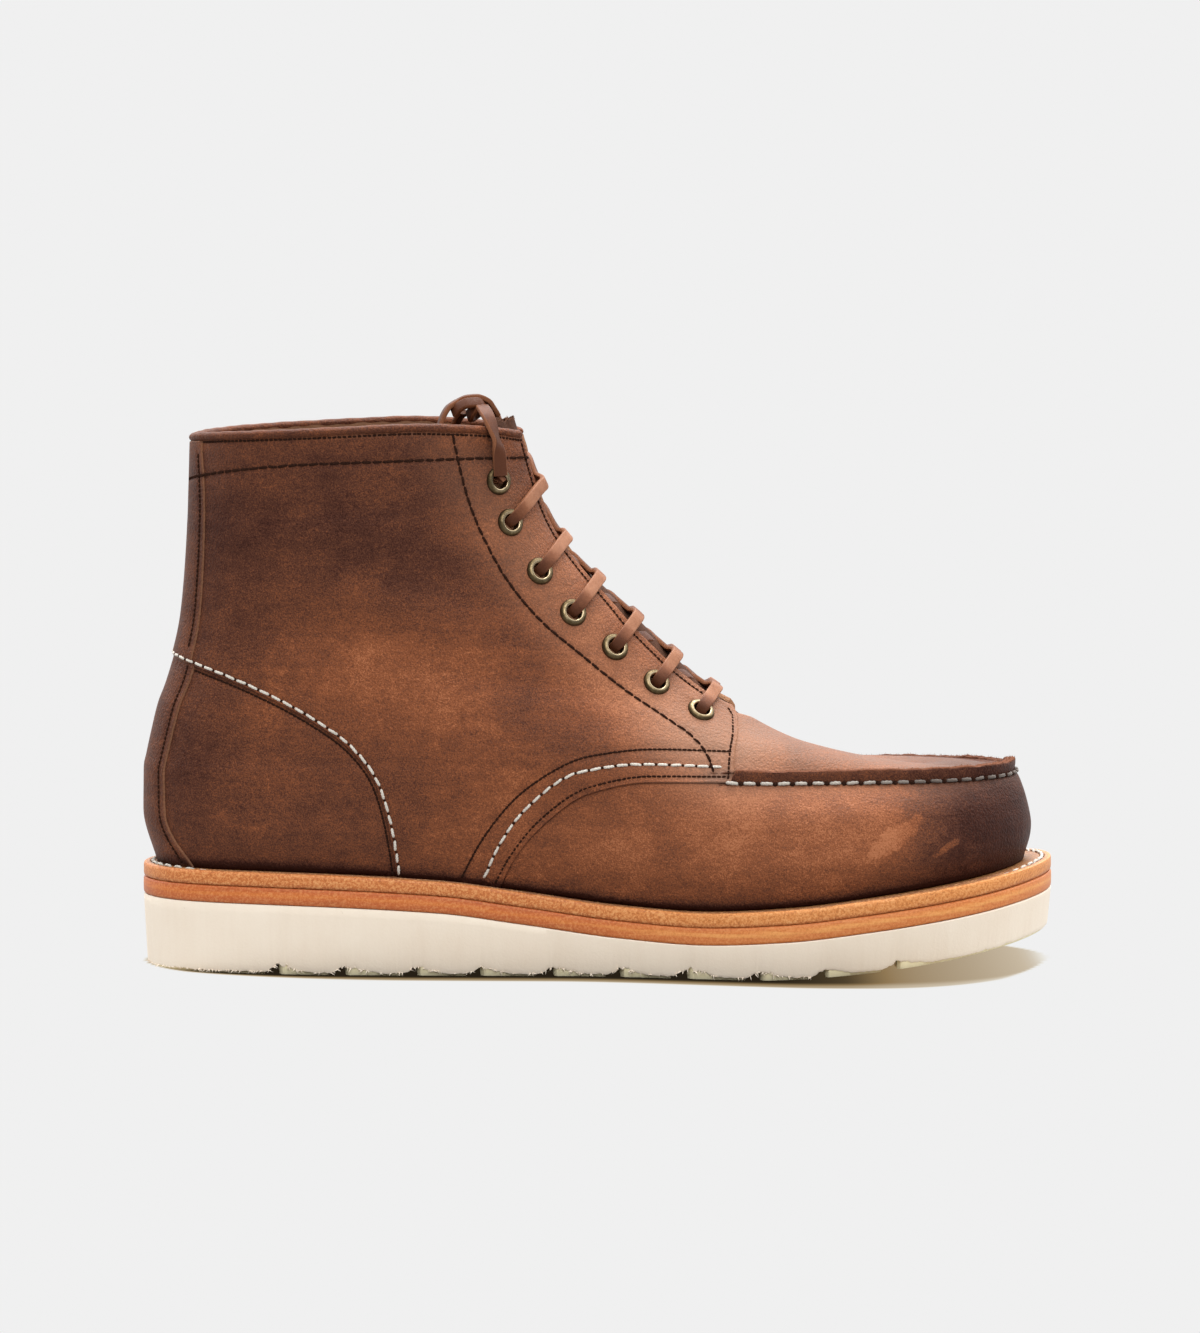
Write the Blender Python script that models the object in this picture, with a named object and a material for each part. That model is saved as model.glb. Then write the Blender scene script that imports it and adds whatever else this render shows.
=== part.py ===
"""Moc toe work boot for the right foot, standing on its wedge sole.

Frame: toe to +X, outer (lateral) side to -Y, up +Z, the sole's underside on z = 0.
Sizes below are in millimetres and are turned into metres where a mesh is made.

The upper is a set of closed loops around the last, one for each level from the feather line
to the collar. A place on it is (s, v, side): s runs from 0 at the back seam to 1 at the front,
v counts levels upwards, side is -1 outside and +1 inside the foot.
"""
import math
from collections import namedtuple

import bmesh
import bpy
import numpy as np
from mathutils import Matrix, Vector

MM = 0.001
SEAT = 0.3

# Sole layers
MIDSOLE_THICK = 6.1
WELT_THICK = 4.2
WELT_LEDGE = 5.0
INSOLE_THICK = 3.0
INSOLE_INSET = 3.4
SOLE_DRAFT = 1.2
SOLE_STEPS = 36
GROOVE_FIRST = -107.0
GROOVE_PITCH = 22.6
GROOVE_COUNT = 10
GROOVE_MOUTH = 7.0
GROOVE_FLOOR = 3.4
GROOVE_DEPTH = 2.8
SPRING_START = 50.0
SPRING_RISE = 12.4
SPRING_POWER = 1.65

# Upper and tongue
WALL = 2.4
SIDE_STEPS = 22
GAP_STEPS = 3
THROAT_FOOT = 5.8
LIP_START = 42.0
LIP_BLEND = 8.0
TONGUE_GAP = 0.9
TONGUE_THICK = 1.8
TONGUE_STEPS = 6
TONGUE_RISE = 1.6
TONGUE_RISE_FROM = 6.0
TONGUE_RISE_OVER = 0.8
TONGUE_FOOT = 5.0
TONGUE_TOP = 9.06

# Eyelets and lace
EYELET_HOLE = 2.65
EYELET_BARREL = 3.05
EYELET_FLANGE = 4.3
EYELET_CLEARANCE = 3.4
EYELET_PROUD = 1.0
EYELET_SIDES = 10
LACE_WIDTH = 4.5
LACE_THICK = 1.6
LACE_STEPS = 9
LACE_SINK = 0.6
LACE_OVERLAP = 0.5
CORD_RADIUS = 1.5
KNOT_RADII = (6.0, 5.0, 4.2)

# One loop around the foot: where it starts and ends, its end radii and its half widths
OUTLINE = "back_x front_x heel_r heel_w waist_w ball_w toe_w toe_r"
Outline = namedtuple("Outline", OUTLINE)
Level = namedtuple("Level", "v " + OUTLINE + " follow back_z waist_z ball_z front_z")

SOLE = Outline(-152.5, 152.5, 34, 35.5, 38.0, 52.5, 38.0, 48)

# follow 1 lets a level's heights ride on the welt, whose height at the heel is WELT_HEIGHT
WELT_HEIGHT = 34.5
LEVELS = {
    "feather":     Level(0, -147.5, 143.5, 30, 31.0, 33.0, 45.5, 33.0, 42, 1, 34.5, 34.5, 34.5, 34.5),
    "bulge":       Level(1, -152.0, 146.0, 33, 34.5, 37.5, 49.0, 35.5, 44, 1, 52.0, 49.0, 48.0, 45.5),
    "shoulder":    Level(1.5, -151.9, 143.9, 32.6, 34.5, 38.9, 46.5, 33.8, 41.6, 0.5, 60.2, 58.7, 56.9, 56.4),
    "seam":        Level(2, -151.8, 140.5, 32, 34.5, 39.5, 38.5, 29.0, 38, 0, 66.0, 66.0, 63.5, 64.0),
    "plug_edge":   Level(3, -151.0, 135.5, 31, 34.0, 39.5, 35.5, 26.0, 34, 0, 70.0, 70.0, 66.5, 64.5),
    "plug":        Level(4, -149.0, 105.0, 30, 33.0, 38.8, 33.5, 19.5, 24, 0, 79.0, 80.0, 75.5, 66.5),
    "vamp":        Level(5, -147.0, 77.0, 29, 31.5, 37.4, 31.0, 15.5, 17, 0, 87.0, 90.0, 85.0, 70.5),
    "throat_foot": Level(6, -144.0, 47.5, 27, 29.5, 36.0, 29.5, 15.0, 17, 0, 95.0, 100.0, 96.5, 85.5),
    "instep":      Level(7, -138.5, 15.0, 26, 27.5, 35.0, 29.5, 15.5, 17, 0, 117.0, 121.0, 120.0, 115.5),
    "ankle":       Level(8, -136.0, -14.0, 25, 27.0, 36.0, 31.5, 16.5, 18, 0, 148.0, 150.0, 150.0, 149.0),
    "collar":      Level(9, -135.0, -24.5, 25, 27.5, 37.5, 33.0, 17.5, 20, 0, 176.5, 179.0, 180.0, 181.5),
}
WIDTH_STATIONS = (0.0, 0.25, 0.47, 0.65, 0.85, 1.0)
HEIGHT_STATIONS = (0.0, 0.47, 0.65, 1.0)

# Top of the rubber along the foot
Height = namedtuple("Height", "x z")
SOLE_TOP = [
    Height(-153, 23.5), Height(-100, 23.3), Height(-52, 21.1), Height(-26, 18.2), Height(7, 14.2),
    Height(34, 12.8), Height(61, 13.8), Height(91, 16.8), Height(122, 21.1), Height(153, 26.0),
]

# Centre line of the foot seen from above; the shaft stands on SHAFT_Y from SHAFT_FROM upwards
Bend = namedtuple("Bend", "x y")
CENTRE = [
    Bend(-153, 0.0), Bend(-100, -0.5), Bend(-10, -3.0), Bend(62, -2.0), Bend(110, 2.0), Bend(150, 5.0),
]
SHAFT_Y = 0.0
FOOT_TO = 60.0
SHAFT_FROM = 150.0

# Half width of the throat's opening at some levels
Gap = namedtuple("Gap", "v half_width")
THROAT = [Gap(0, 14.0), Gap(5.8, 14.0), Gap(6.8, 14.5), Gap(7.4, 12.2), Gap(9.0, 9.0)]

# Rows of the upper's mesh, and how far the moc ridge stands above the form at each
Row = namedtuple("Row", "v lip")
UPPER_ROWS = [
    Row(0.0, 0), Row(0.4, 0), Row(0.8, 0), Row(1.2, 0), Row(1.6, 0), Row(2.0, 0), Row(2.12, 4.6),
    Row(2.88, 2.6), Row(3.0, 0), Row(3.5, 0), Row(4.0, 0), Row(4.5, 0), Row(5.0, 0), Row(5.4, 0),
    Row(THROAT_FOOT, 0), Row(6.2, 0), Row(6.6, 0), Row(7.0, 0), Row(7.4, 0), Row(7.8, 0), Row(8.2, 0),
    Row(8.6, 0), Row(9.0, 0),
]

# Levels of the eyelet pairs, from the collar down, and half the distance across between two of a pair
EYELET_LEVELS = (8.42, 7.97, 7.46, 7.0, 6.6, 6.13, 5.5)
EYELET_ROW = [Gap(5.0, 23.3), Gap(5.5, 23.0), Gap(6.13, 22.2), Gap(6.6, 22.6), Gap(7.0, 24.0), Gap(9.0, 24.0)]

# Top of the lace: from the top eyelets over the collar to the knot, then down into the shaft
KNOT_CENTRE = (-40.0, -7.0, 187.0)
CORD_ROUTES = {
    "lace_tie_lateral": [(-32.0, -26.9, 164.5), (-32.6, -26.6, 172.0), (-34.2, -26.2, 178.5),
                         (-36.0, -23.8, 183.4), (-37.6, -18.0, 186.0), (-38.5, -12.4, 186.8)],
    "lace_tie_medial": [(-32.0, 26.9, 164.5), (-32.6, 26.6, 172.0), (-34.0, 26.2, 178.5),
                        (-35.6, 23.8, 183.4), (-37.5, 12.0, 186.5), (-38.6, -1.6, 187.2)],
    "lace_end_lateral": [(-46.7, -7.7, 188.4), (-49.8, -9.0, 186.3), (-52.3, -10.5, 181.0),
                         (-53.4, -11.8, 173.0), (-53.7, -12.6, 164.0), (-53.7, -13.0, 155.0)],
    "lace_end_medial": [(-44.4, -4.3, 184.7), (-46.6, -2.4, 182.4), (-48.4, 0.0, 176.5),
                        (-49.4, 1.6, 168.0), (-49.8, 2.6, 160.0), (-49.8, 3.0, 152.0)],
}
CORD_STEPS = 2

# Colour, roughness and metallic value of each material
Finish = namedtuple("Finish", "colour roughness metallic")
FINISHES = {
    "outsole": Finish((0.82, 0.75, 0.63), 0.75, 0.0),
    "midsole": Finish((0.48, 0.19, 0.07), 0.5, 0.0),
    "welt": Finish((0.58, 0.28, 0.11), 0.5, 0.0),
    "insole": Finish((0.45, 0.30, 0.18), 0.7, 0.0),
    "upper": Finish((0.17, 0.070, 0.037), 0.5, 0.0),
    "tongue": Finish((0.14, 0.058, 0.031), 0.6, 0.0),
    "eyelet": Finish((0.36, 0.28, 0.16), 0.35, 1.0),
    "lace": Finish((0.28, 0.12, 0.064), 0.6, 0.0),
}


def clear_scene():
    for obj in list(bpy.data.objects):
        bpy.data.objects.remove(obj, do_unlink=True)


def material(name):
    """The Principled material of one finish, made on first use."""
    if name in bpy.data.materials:
        return bpy.data.materials[name]
    finish = FINISHES[name]
    made = bpy.data.materials.new(name)
    made.use_nodes = True
    shader = made.node_tree.nodes["Principled BSDF"]
    shader.inputs["Base Color"].default_value = (*finish.colour, 1.0)
    shader.inputs["Roughness"].default_value = finish.roughness
    shader.inputs["Metallic"].default_value = finish.metallic
    return made


def add_object(name, data, finish, parent):
    data.materials.append(material(finish))
    obj = bpy.data.objects.new(name, data)
    obj.parent = parent
    bpy.context.scene.collection.objects.link(obj)
    return obj


def make_cutter(obj):
    obj.hide_render = True
    obj.display_type = "WIRE"


def closed_mesh(name, points, faces):
    """Mesh of the points that the faces use, in metres, with its faces pointing out."""
    used = sorted({i for face in faces for i in face})
    place = {old: new for new, old in enumerate(used)}
    mesh = bpy.data.meshes.new(name)
    mesh.from_pydata([tuple(points[i] * MM) for i in used], [],
                     [[place[i] for i in face] for face in faces])
    bm = bmesh.new()
    bm.from_mesh(mesh)
    bmesh.ops.recalc_face_normals(bm, faces=bm.faces)
    bm.to_mesh(mesh)
    bm.free()
    mesh.shade_smooth()
    mesh.set_sharp_from_angle(angle=math.radians(40))
    return mesh


# Smooth curves and the last's form

def smooth(xs, ys, x, level_ends=False):
    """Monotone cubic through (xs, ys), read at x; ys may hold a column of its own for each x."""
    xs = np.asarray(xs, float)
    x = np.atleast_1d(np.asarray(x, float))
    ys = np.broadcast_to(np.asarray(ys, float).reshape(len(xs), -1), (len(xs), x.size))
    step = np.diff(xs)[:, None]
    secant = np.diff(ys, axis=0) / step
    before, after = secant[:-1], secant[1:]
    weight_before = 2 * step[1:] + step[:-1]
    weight_after = step[1:] + 2 * step[:-1]
    turning = before * after <= 0
    mean = np.where(turning, 1.0, weight_before * after + weight_after * before)
    slope = np.empty(ys.shape)
    slope[1:-1] = np.where(turning, 0.0, (weight_before + weight_after) * before * after / mean)
    slope[0] = 0.0 if level_ends else secant[0]
    slope[-1] = 0.0 if level_ends else secant[-1]
    i = np.clip(np.searchsorted(xs, x, side="right") - 1, 0, len(xs) - 2)
    k = np.arange(x.size)
    width = np.diff(xs)[i]
    t = (x - xs[i]) / width
    start = (1 + 2 * t) * (1 - t) ** 2 * ys[i, k] + t * (1 - t) ** 2 * width * slope[i, k]
    end = t * t * (3 - 2 * t) * ys[i + 1, k] + t * t * (t - 1) * width * slope[i + 1, k]
    return start + end


def blend(edge, width, x):
    """0 below edge, 1 above edge + width, smooth between."""
    t = np.clip((x - edge) / width, 0, 1)
    return t * t * (3 - 2 * t)


def along(loop, s):
    """x at s on a loop."""
    return loop.back_x + (loop.front_x - loop.back_x) * (1 - np.cos(np.pi * s)) / 2


def half_width(loop, s):
    """Half width at s on a loop, round at both ends."""
    half_length = (loop.front_x - loop.back_x) / 2
    sides = np.sin(np.pi * np.array(WIDTH_STATIONS[1:-1]))
    widths = (loop.heel_w, loop.waist_w, loop.ball_w, loop.toe_w)
    full = [np.sqrt(loop.heel_r * half_length)]
    full += [width / side for width, side in zip(widths, sides)]
    full.append(np.sqrt(loop.toe_r * half_length))
    return smooth(WIDTH_STATIONS, np.stack(full), s, level_ends=True) * np.sin(np.pi * s)


def inset(loop, distance):
    """The outline of a loop, drawn in by a distance all round."""
    return Outline(loop.back_x + distance, loop.front_x - distance, loop.heel_r - distance,
                   loop.heel_w - distance, loop.waist_w - distance, loop.ball_w - distance,
                   loop.toe_w - distance, loop.toe_r - distance)


def sole_top(x):
    return smooth([row.x for row in SOLE_TOP], [row.z for row in SOLE_TOP], x)


def midsole_top(x):
    return sole_top(x) + SEAT + MIDSOLE_THICK


def welt_top(x):
    return midsole_top(x) + WELT_THICK


def centre_y(x, z):
    """The foot's bent centre line, which straightens into the shaft's."""
    bend = smooth([row.x for row in CENTRE], [row.y for row in CENTRE], x)
    up = np.clip((z - FOOT_TO) / (SHAFT_FROM - FOOT_TO), 0, 1)
    return bend + (SHAFT_Y - bend) * up


def level_at(v):
    levels = list(LEVELS.values())
    marks = [level.v for level in levels]
    return Level(*[smooth(marks, column, v) for column in zip(*levels)])


def form(s, v, side):
    """Points of the upper's outer form, one row each of x, y, z."""
    s, v, side = np.broadcast_arrays(*(np.atleast_1d(np.asarray(a, float)) for a in (s, v, side)))
    level = level_at(v)
    x = along(level, s)
    heights = np.stack([level.back_z, level.waist_z, level.ball_z, level.front_z])
    z = smooth(HEIGHT_STATIONS, heights, s) + level.follow * (welt_top(x) + SEAT - WELT_HEIGHT)
    y = centre_y(x, z) + side * half_width(level, s)
    return np.stack([x, y, z], axis=1)


def outward(s, v, side):
    """Unit normals of the form."""
    ds, dv = 1e-3, 1e-2
    forward = form(s + ds, v, side) - form(s - ds, v, side)
    up = form(s, v + dv, side) - form(s, v - dv, side)
    normal = np.cross(forward, up) * -np.atleast_1d(side)[:, None]
    return normal / np.linalg.norm(normal, axis=1)[:, None]


def s_at_width(v, width):
    """s in the front half of a level where the form is as wide as this on each side."""
    level = level_at(v)
    low = np.full(np.shape(level.back_x), 0.5)
    high = np.ones_like(low)
    for _ in range(40):
        middle = (low + high) / 2
        wider = half_width(level, middle) > width
        low = np.where(wider, middle, low)
        high = np.where(wider, high, middle)
    return (low + high) / 2


def throat_half(v):
    return smooth([row.v for row in THROAT], [row.half_width for row in THROAT], v)


def on_form(v, across, lift):
    """A point that lies lift above the form, at a level and a signed distance across; with its normal."""
    v, across = (np.atleast_1d(np.asarray(a, float)) for a in (v, across))
    side = np.where(across < 0, -1.0, 1.0)
    s = s_at_width(v, np.abs(across))
    normal = outward(s, v, side)
    return form(s, v, side) + normal * np.reshape(lift, (-1, 1)), normal


# Sole layers

def loop_points(outline, s, height):
    """A closed loop: back to front on the outer side, then front to back on the inner side."""
    around = np.concatenate([s, s[-2:0:-1]])
    side = np.concatenate([-np.ones(len(s)), np.ones(len(s) - 2)])
    x = along(outline, around)
    y = centre_y(x, np.zeros_like(x)) + side * half_width(outline, around)
    return np.stack([x, y, height(x)], axis=1)


def stack(name, loops, ring=False):
    """Closed solid from loops laid over each other; a ring joins its last loop to its first."""
    count = len(loops[0])
    half = count // 2
    faces = []
    pairs = list(zip(range(len(loops)), range(1, len(loops))))
    if ring:
        pairs.append((len(loops) - 1, 0))
    for low, high in pairs:
        for i in range(count):
            j = (i + 1) % count
            faces.append((low * count + i, low * count + j, high * count + j, high * count + i))
    if not ring:
        for start in (0, (len(loops) - 1) * count):
            for i in range(half):
                corners = (i, i + 1, (count - i - 1) % count, (count - i) % count)
                faces.append([start + corner for corner in dict.fromkeys(corners)])
    return closed_mesh(name, np.concatenate(loops), faces)


def groove_depth(x):
    """Depth of the cross grooves at x."""
    nearest = np.clip(np.round((x - GROOVE_FIRST) / GROOVE_PITCH), 0, GROOVE_COUNT - 1)
    off = np.abs(x - GROOVE_FIRST - nearest * GROOVE_PITCH)
    slope = (GROOVE_MOUTH - GROOVE_FLOOR) / 2
    return GROOVE_DEPTH * np.clip((GROOVE_MOUTH / 2 - off) / slope, 0, 1)


def sole_bottom(x):
    """Underside of the lugs: flat from the heel to the ball, then the toe spring."""
    ahead = np.clip((x - SPRING_START) / (SOLE.front_x - SPRING_START), 0, None)
    return SPRING_RISE * ahead ** SPRING_POWER + groove_depth(x)


def groove_stations(outline):
    """s at the edges of every groove's mouth and floor."""
    centres = GROOVE_FIRST + GROOVE_PITCH * np.arange(GROOVE_COUNT)
    half = np.array([-GROOVE_MOUTH, -GROOVE_FLOOR, GROOVE_FLOOR, GROOVE_MOUTH]) / 2
    x = (centres[:, None] + half).ravel()
    return np.arccos(1 - 2 * (x - outline.back_x) / (outline.front_x - outline.back_x)) / np.pi


def outsole_mesh():
    foot = inset(SOLE, SOLE_DRAFT)
    edges = groove_stations(foot)
    even = np.linspace(0, 1, SOLE_STEPS + 1)
    clear = [s for s in even if np.min(np.abs(edges - s)) > 0.5 / SOLE_STEPS or s in (0, 1)]
    s = np.sort(np.concatenate([clear, edges]))
    return stack("outsole", [loop_points(foot, s, sole_bottom), loop_points(SOLE, s, sole_top)])


def midsole_mesh():
    s = np.linspace(0, 1, SOLE_STEPS + 1)
    bottom = loop_points(SOLE, s, lambda x: sole_top(x) + SEAT)
    return stack("midsole", [bottom, loop_points(SOLE, s, midsole_top)])


def welt_mesh():
    s = np.linspace(0, 1, SOLE_STEPS + 1)
    inner = inset(LEVELS["feather"], WELT_LEDGE)

    def bottom(x):
        return midsole_top(x) + SEAT

    loops = [loop_points(SOLE, s, bottom), loop_points(SOLE, s, welt_top),
             loop_points(inner, s, welt_top), loop_points(inner, s, bottom)]
    return stack("welt", loops, ring=True)


def insole_mesh():
    """Footbed: its lower part fills the welt ring, its upper part reaches to the upper's wall."""
    s = np.linspace(0, 1, SOLE_STEPS + 1)
    plug = inset(LEVELS["feather"], WELT_LEDGE + SEAT)
    bed = inset(LEVELS["feather"], INSOLE_INSET)

    def seat(x):
        return welt_top(x) + SEAT

    loops = [loop_points(plug, s, lambda x: midsole_top(x) + SEAT), loop_points(plug, s, seat),
             loop_points(bed, s, seat), loop_points(bed, s, lambda x: seat(x) + INSOLE_THICK)]
    return stack("insole", loops)


# Upper and tongue

def columns(v):
    """s of the mesh columns on one side at a level: even to the throat's edge, then to the front."""
    edge = s_at_width(v, throat_half(v))[0]
    side = edge * np.arange(SIDE_STEPS + 1) / SIDE_STEPS
    gap = edge + (1 - edge) * np.arange(1, GAP_STEPS + 1) / GAP_STEPS
    return np.concatenate([side, gap])


def wall_mesh(name, cells, outer, inner):
    """Closed wall between two grids of points, with a rim along every open edge."""
    count = len(outer)
    edges = {edge for cell in cells for edge in zip(cell, cell[1:] + cell[:1])}
    faces = list(cells)
    faces += [[i + count for i in reversed(cell)] for cell in cells]
    faces += [(b, a, a + count, b + count) for a, b in edges if (b, a) not in edges]
    return closed_mesh(name, np.concatenate([outer, inner]), faces)


def upper_mesh():
    outer = []
    inner = []
    for row in UPPER_ROWS:
        one_side = columns(row.v)
        s = np.concatenate([one_side, one_side[-2:0:-1]])
        side = np.concatenate([-np.ones(len(one_side)), np.ones(len(one_side) - 2)])
        v = np.full(len(s), row.v)
        skin = form(s, v, side)
        lining = skin - WALL * outward(s, v, side)
        if row.v == 0:
            lining[:, 2] = skin[:, 2]
        skin[:, 2] += row.lip * blend(LIP_START, LIP_BLEND, skin[:, 0])
        outer.append(skin)
        inner.append(lining)
    count = len(outer[0])
    throat_row = [row.v for row in UPPER_ROWS].index(THROAT_FOOT)
    gap_cells = range(SIDE_STEPS, SIDE_STEPS + 2 * GAP_STEPS)
    cells = []
    for r in range(len(UPPER_ROWS) - 1):
        for c in range(count):
            if r < throat_row or c not in gap_cells:
                d = (c + 1) % count
                cells.append((r * count + c, r * count + d, (r + 1) * count + d, (r + 1) * count + c))
    return wall_mesh("upper", cells, np.concatenate(outer), np.concatenate(inner))


def tongue_mesh():
    """A sheet inside the throat, from under the vamp to just above the collar.

    It keeps below the upper's wall at the sides and swells a little in the throat's gap.
    """
    levels = [row.v for row in UPPER_ROWS if TONGUE_FOOT <= row.v] + [TONGUE_TOP]
    outer = []
    inner = []
    for level in levels:
        one_side = columns(level)[SIDE_STEPS - TONGUE_STEPS:]
        s = np.concatenate([one_side, one_side[-2::-1]])
        side = np.concatenate([-np.ones(len(one_side)), np.ones(len(one_side) - 1)])
        v = np.full(len(s), level)
        skin = form(s, v, side)
        normal = outward(s, v, side)
        centred = blend(0, GAP_STEPS, np.arange(len(one_side)) - TONGUE_STEPS)
        rise = TONGUE_RISE * np.concatenate([centred, centred[-2::-1]])[:, None]
        depth = WALL + TONGUE_GAP - rise * blend(TONGUE_RISE_FROM, TONGUE_RISE_OVER, level)
        outer.append(skin - depth * normal)
        inner.append(skin - (depth + TONGUE_THICK) * normal)
    count = len(outer[0])
    cells = [(r * count + c, r * count + c + 1, (r + 1) * count + c + 1, (r + 1) * count + c)
             for r in range(len(levels) - 1) for c in range(count - 1)]
    return wall_mesh("tongue", cells, np.concatenate(outer), np.concatenate(inner))


# Eyelets

def eyelet_half(v):
    return smooth([row.v for row in EYELET_ROW], [row.half_width for row in EYELET_ROW], v)[0]


def eyelet_place(v, side):
    """Matrix of an eyelet: its middle on the form, its z axis along the form's normal."""
    point, normal = on_form(v, side * eyelet_half(v), 0.0)
    turn = Vector(normal[0]).to_track_quat("Z", "Y").to_matrix().to_4x4()
    return Matrix.Translation(Vector(point[0]) * MM) @ turn


def turned_mesh(name, profile, sides):
    """Ring turned about z from a closed profile of radius and height."""
    angles = 2 * np.pi * np.arange(sides) / sides
    points = np.array([(r * np.cos(a), r * np.sin(a), h) for a in angles for r, h in profile])
    count = len(profile)
    faces = []
    for i in range(sides):
        j = (i + 1) % sides
        for k in range(count):
            m = (k + 1) % count
            faces.append((i * count + k, j * count + k, j * count + m, i * count + m))
    return closed_mesh(name, points, faces)


def eyelet_mesh():
    profile = [(EYELET_HOLE, -WALL - SEAT), (EYELET_HOLE, EYELET_PROUD),
               (EYELET_FLANGE, EYELET_PROUD - SEAT), (EYELET_FLANGE, SEAT),
               (EYELET_BARREL, SEAT), (EYELET_BARREL, -WALL - SEAT)]
    return turned_mesh("eyelet", profile, EYELET_SIDES)


def eyelet_holes():
    """One mesh with a punch for every eyelet."""
    bm = bmesh.new()
    for v in EYELET_LEVELS:
        for side in (-1, 1):
            bmesh.ops.create_cone(bm, cap_ends=True, segments=EYELET_SIDES, radius1=EYELET_CLEARANCE * MM,
                                  radius2=EYELET_CLEARANCE * MM, depth=4 * WALL * MM,
                                  matrix=eyelet_place(v, side))
    mesh = bpy.data.meshes.new("eyelet_holes")
    bm.to_mesh(mesh)
    bm.free()
    return mesh


# Lace

def strap_mesh(name, low, high, side, raise_by):
    """Flat lace from over one eyelet to the throat's far edge, below the next eyelet up."""
    rest = EYELET_PROUD + SEAT + LACE_THICK / 2 + raise_by
    edge = throat_half((low + high) / 2)[0] - LACE_WIDTH / 2 - SEAT
    start = eyelet_half(low)
    across = np.linspace(-start + EYELET_HOLE / 2, edge, LACE_STEPS + 1)
    v = low + (high - low) * (across + start) / (2 * start)
    lift = rest - (rest + LACE_SINK) * blend(0, edge, across)
    middle, normal = on_form(v, -side * across, lift)
    forward = np.gradient(middle, axis=0)
    forward /= np.linalg.norm(forward, axis=1)[:, None]
    sideways = np.cross(normal, forward)
    normal = np.cross(forward, sideways)
    corners = [(-1, -1), (1, -1), (1, 1), (-1, 1)]
    points = [middle + a * LACE_WIDTH / 2 * sideways + b * LACE_THICK / 2 * normal for a, b in corners]
    points = np.stack(points, axis=1).reshape(-1, 3)
    faces = [(0, 1, 2, 3), tuple(LACE_STEPS * 4 + k for k in range(4))]
    for i in range(LACE_STEPS):
        for k in range(4):
            m = (k + 1) % 4
            faces.append((i * 4 + k, i * 4 + m, i * 4 + 4 + m, i * 4 + 4 + k))
    return closed_mesh(name, points, faces)


def add_crossings(parent):
    pairs = zip(EYELET_LEVELS[1:], EYELET_LEVELS)
    for number, (low, high) in enumerate(pairs, start=1):
        name = f"lace_crossing_{number}"
        strap = add_object(name, strap_mesh(name, low, high, 1, 0.0), "lace", parent)
        over_mesh = strap_mesh(name + "_over", low, high, -1, LACE_OVERLAP)
        over = add_object(name + "_over", over_mesh, "lace", parent)
        make_cutter(over)
        join = strap.modifiers.new("join", "BOOLEAN")
        join.operation = "UNION"
        join.object = over


def add_cord(name, route, parent):
    """Round stand-in for a free stretch of lace, along a smooth curve through its route."""
    route = np.array(route)
    t = np.arange(len(route))
    at = np.linspace(0, len(route) - 1, CORD_STEPS * (len(route) - 1) + 1)
    points = np.stack([smooth(t, route[:, k], at) for k in range(3)], axis=1)
    curve = bpy.data.curves.new(name, "CURVE")
    curve.dimensions = "3D"
    curve.bevel_depth = CORD_RADIUS * MM
    curve.bevel_resolution = 2
    curve.use_fill_caps = True
    spline = curve.splines.new("POLY")
    spline.points.add(len(points) - 1)
    for target, point in zip(spline.points, points):
        target.co = (*(point * MM), 1.0)
    add_object(name, curve, "lace", parent)


def knot_mesh():
    bm = bmesh.new()
    bmesh.ops.create_uvsphere(bm, u_segments=12, v_segments=8, radius=1.0)
    bmesh.ops.scale(bm, vec=Vector(KNOT_RADII) * MM, verts=bm.verts)
    mesh = bpy.data.meshes.new("lace_knot")
    bm.to_mesh(mesh)
    bm.free()
    mesh.shade_smooth()
    return mesh


def build():
    clear_scene()
    boot = bpy.data.objects.new("moc_toe_boot", None)
    bpy.context.scene.collection.objects.link(boot)

    add_object("outsole", outsole_mesh(), "outsole", boot)
    add_object("midsole", midsole_mesh(), "midsole", boot)
    add_object("welt", welt_mesh(), "welt", boot)
    add_object("insole", insole_mesh(), "insole", boot)
    add_object("tongue", tongue_mesh(), "tongue", boot)

    upper = add_object("upper", upper_mesh(), "upper", boot)
    punches = add_object("eyelet_holes", eyelet_holes(), "upper", boot)
    make_cutter(punches)
    cut = upper.modifiers.new("eyelet_holes", "BOOLEAN")
    cut.operation = "DIFFERENCE"
    cut.object = punches

    shared = eyelet_mesh()
    for number, v in enumerate(EYELET_LEVELS, start=1):
        for name, side in (("lateral", -1), ("medial", 1)):
            eyelet = bpy.data.objects.new(f"eyelet_{name}_{number}", shared)
            eyelet.matrix_local = eyelet_place(v, side)
            eyelet.parent = boot
            bpy.context.scene.collection.objects.link(eyelet)
    shared.materials.append(material("eyelet"))

    add_crossings(boot)
    for name, route in CORD_ROUTES.items():
        add_cord(name, route, boot)
    knot = add_object("lace_knot", knot_mesh(), "lace", boot)
    knot.location = Vector(KNOT_CENTRE) * MM


build()
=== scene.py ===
"""Looks of the moc toe work boot: leather panels, seams, sole layers, eyelets, lace and stage.

The last's form is repeated here at a finer pitch. A place on the upper is (s, v, side): s runs from
0 at the back seam to 1 at the front, v counts levels up from the feather line to the collar, side is
-1 on the outer (lateral) side and +1 on the inner one. Sizes are in millimetres until a mesh is made.
"""
import math
from collections import namedtuple

import bmesh
import bpy
import numpy as np
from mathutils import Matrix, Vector
from mathutils.geometry import delaunay_2d_cdt
from mathutils.kdtree import KDTree


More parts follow.
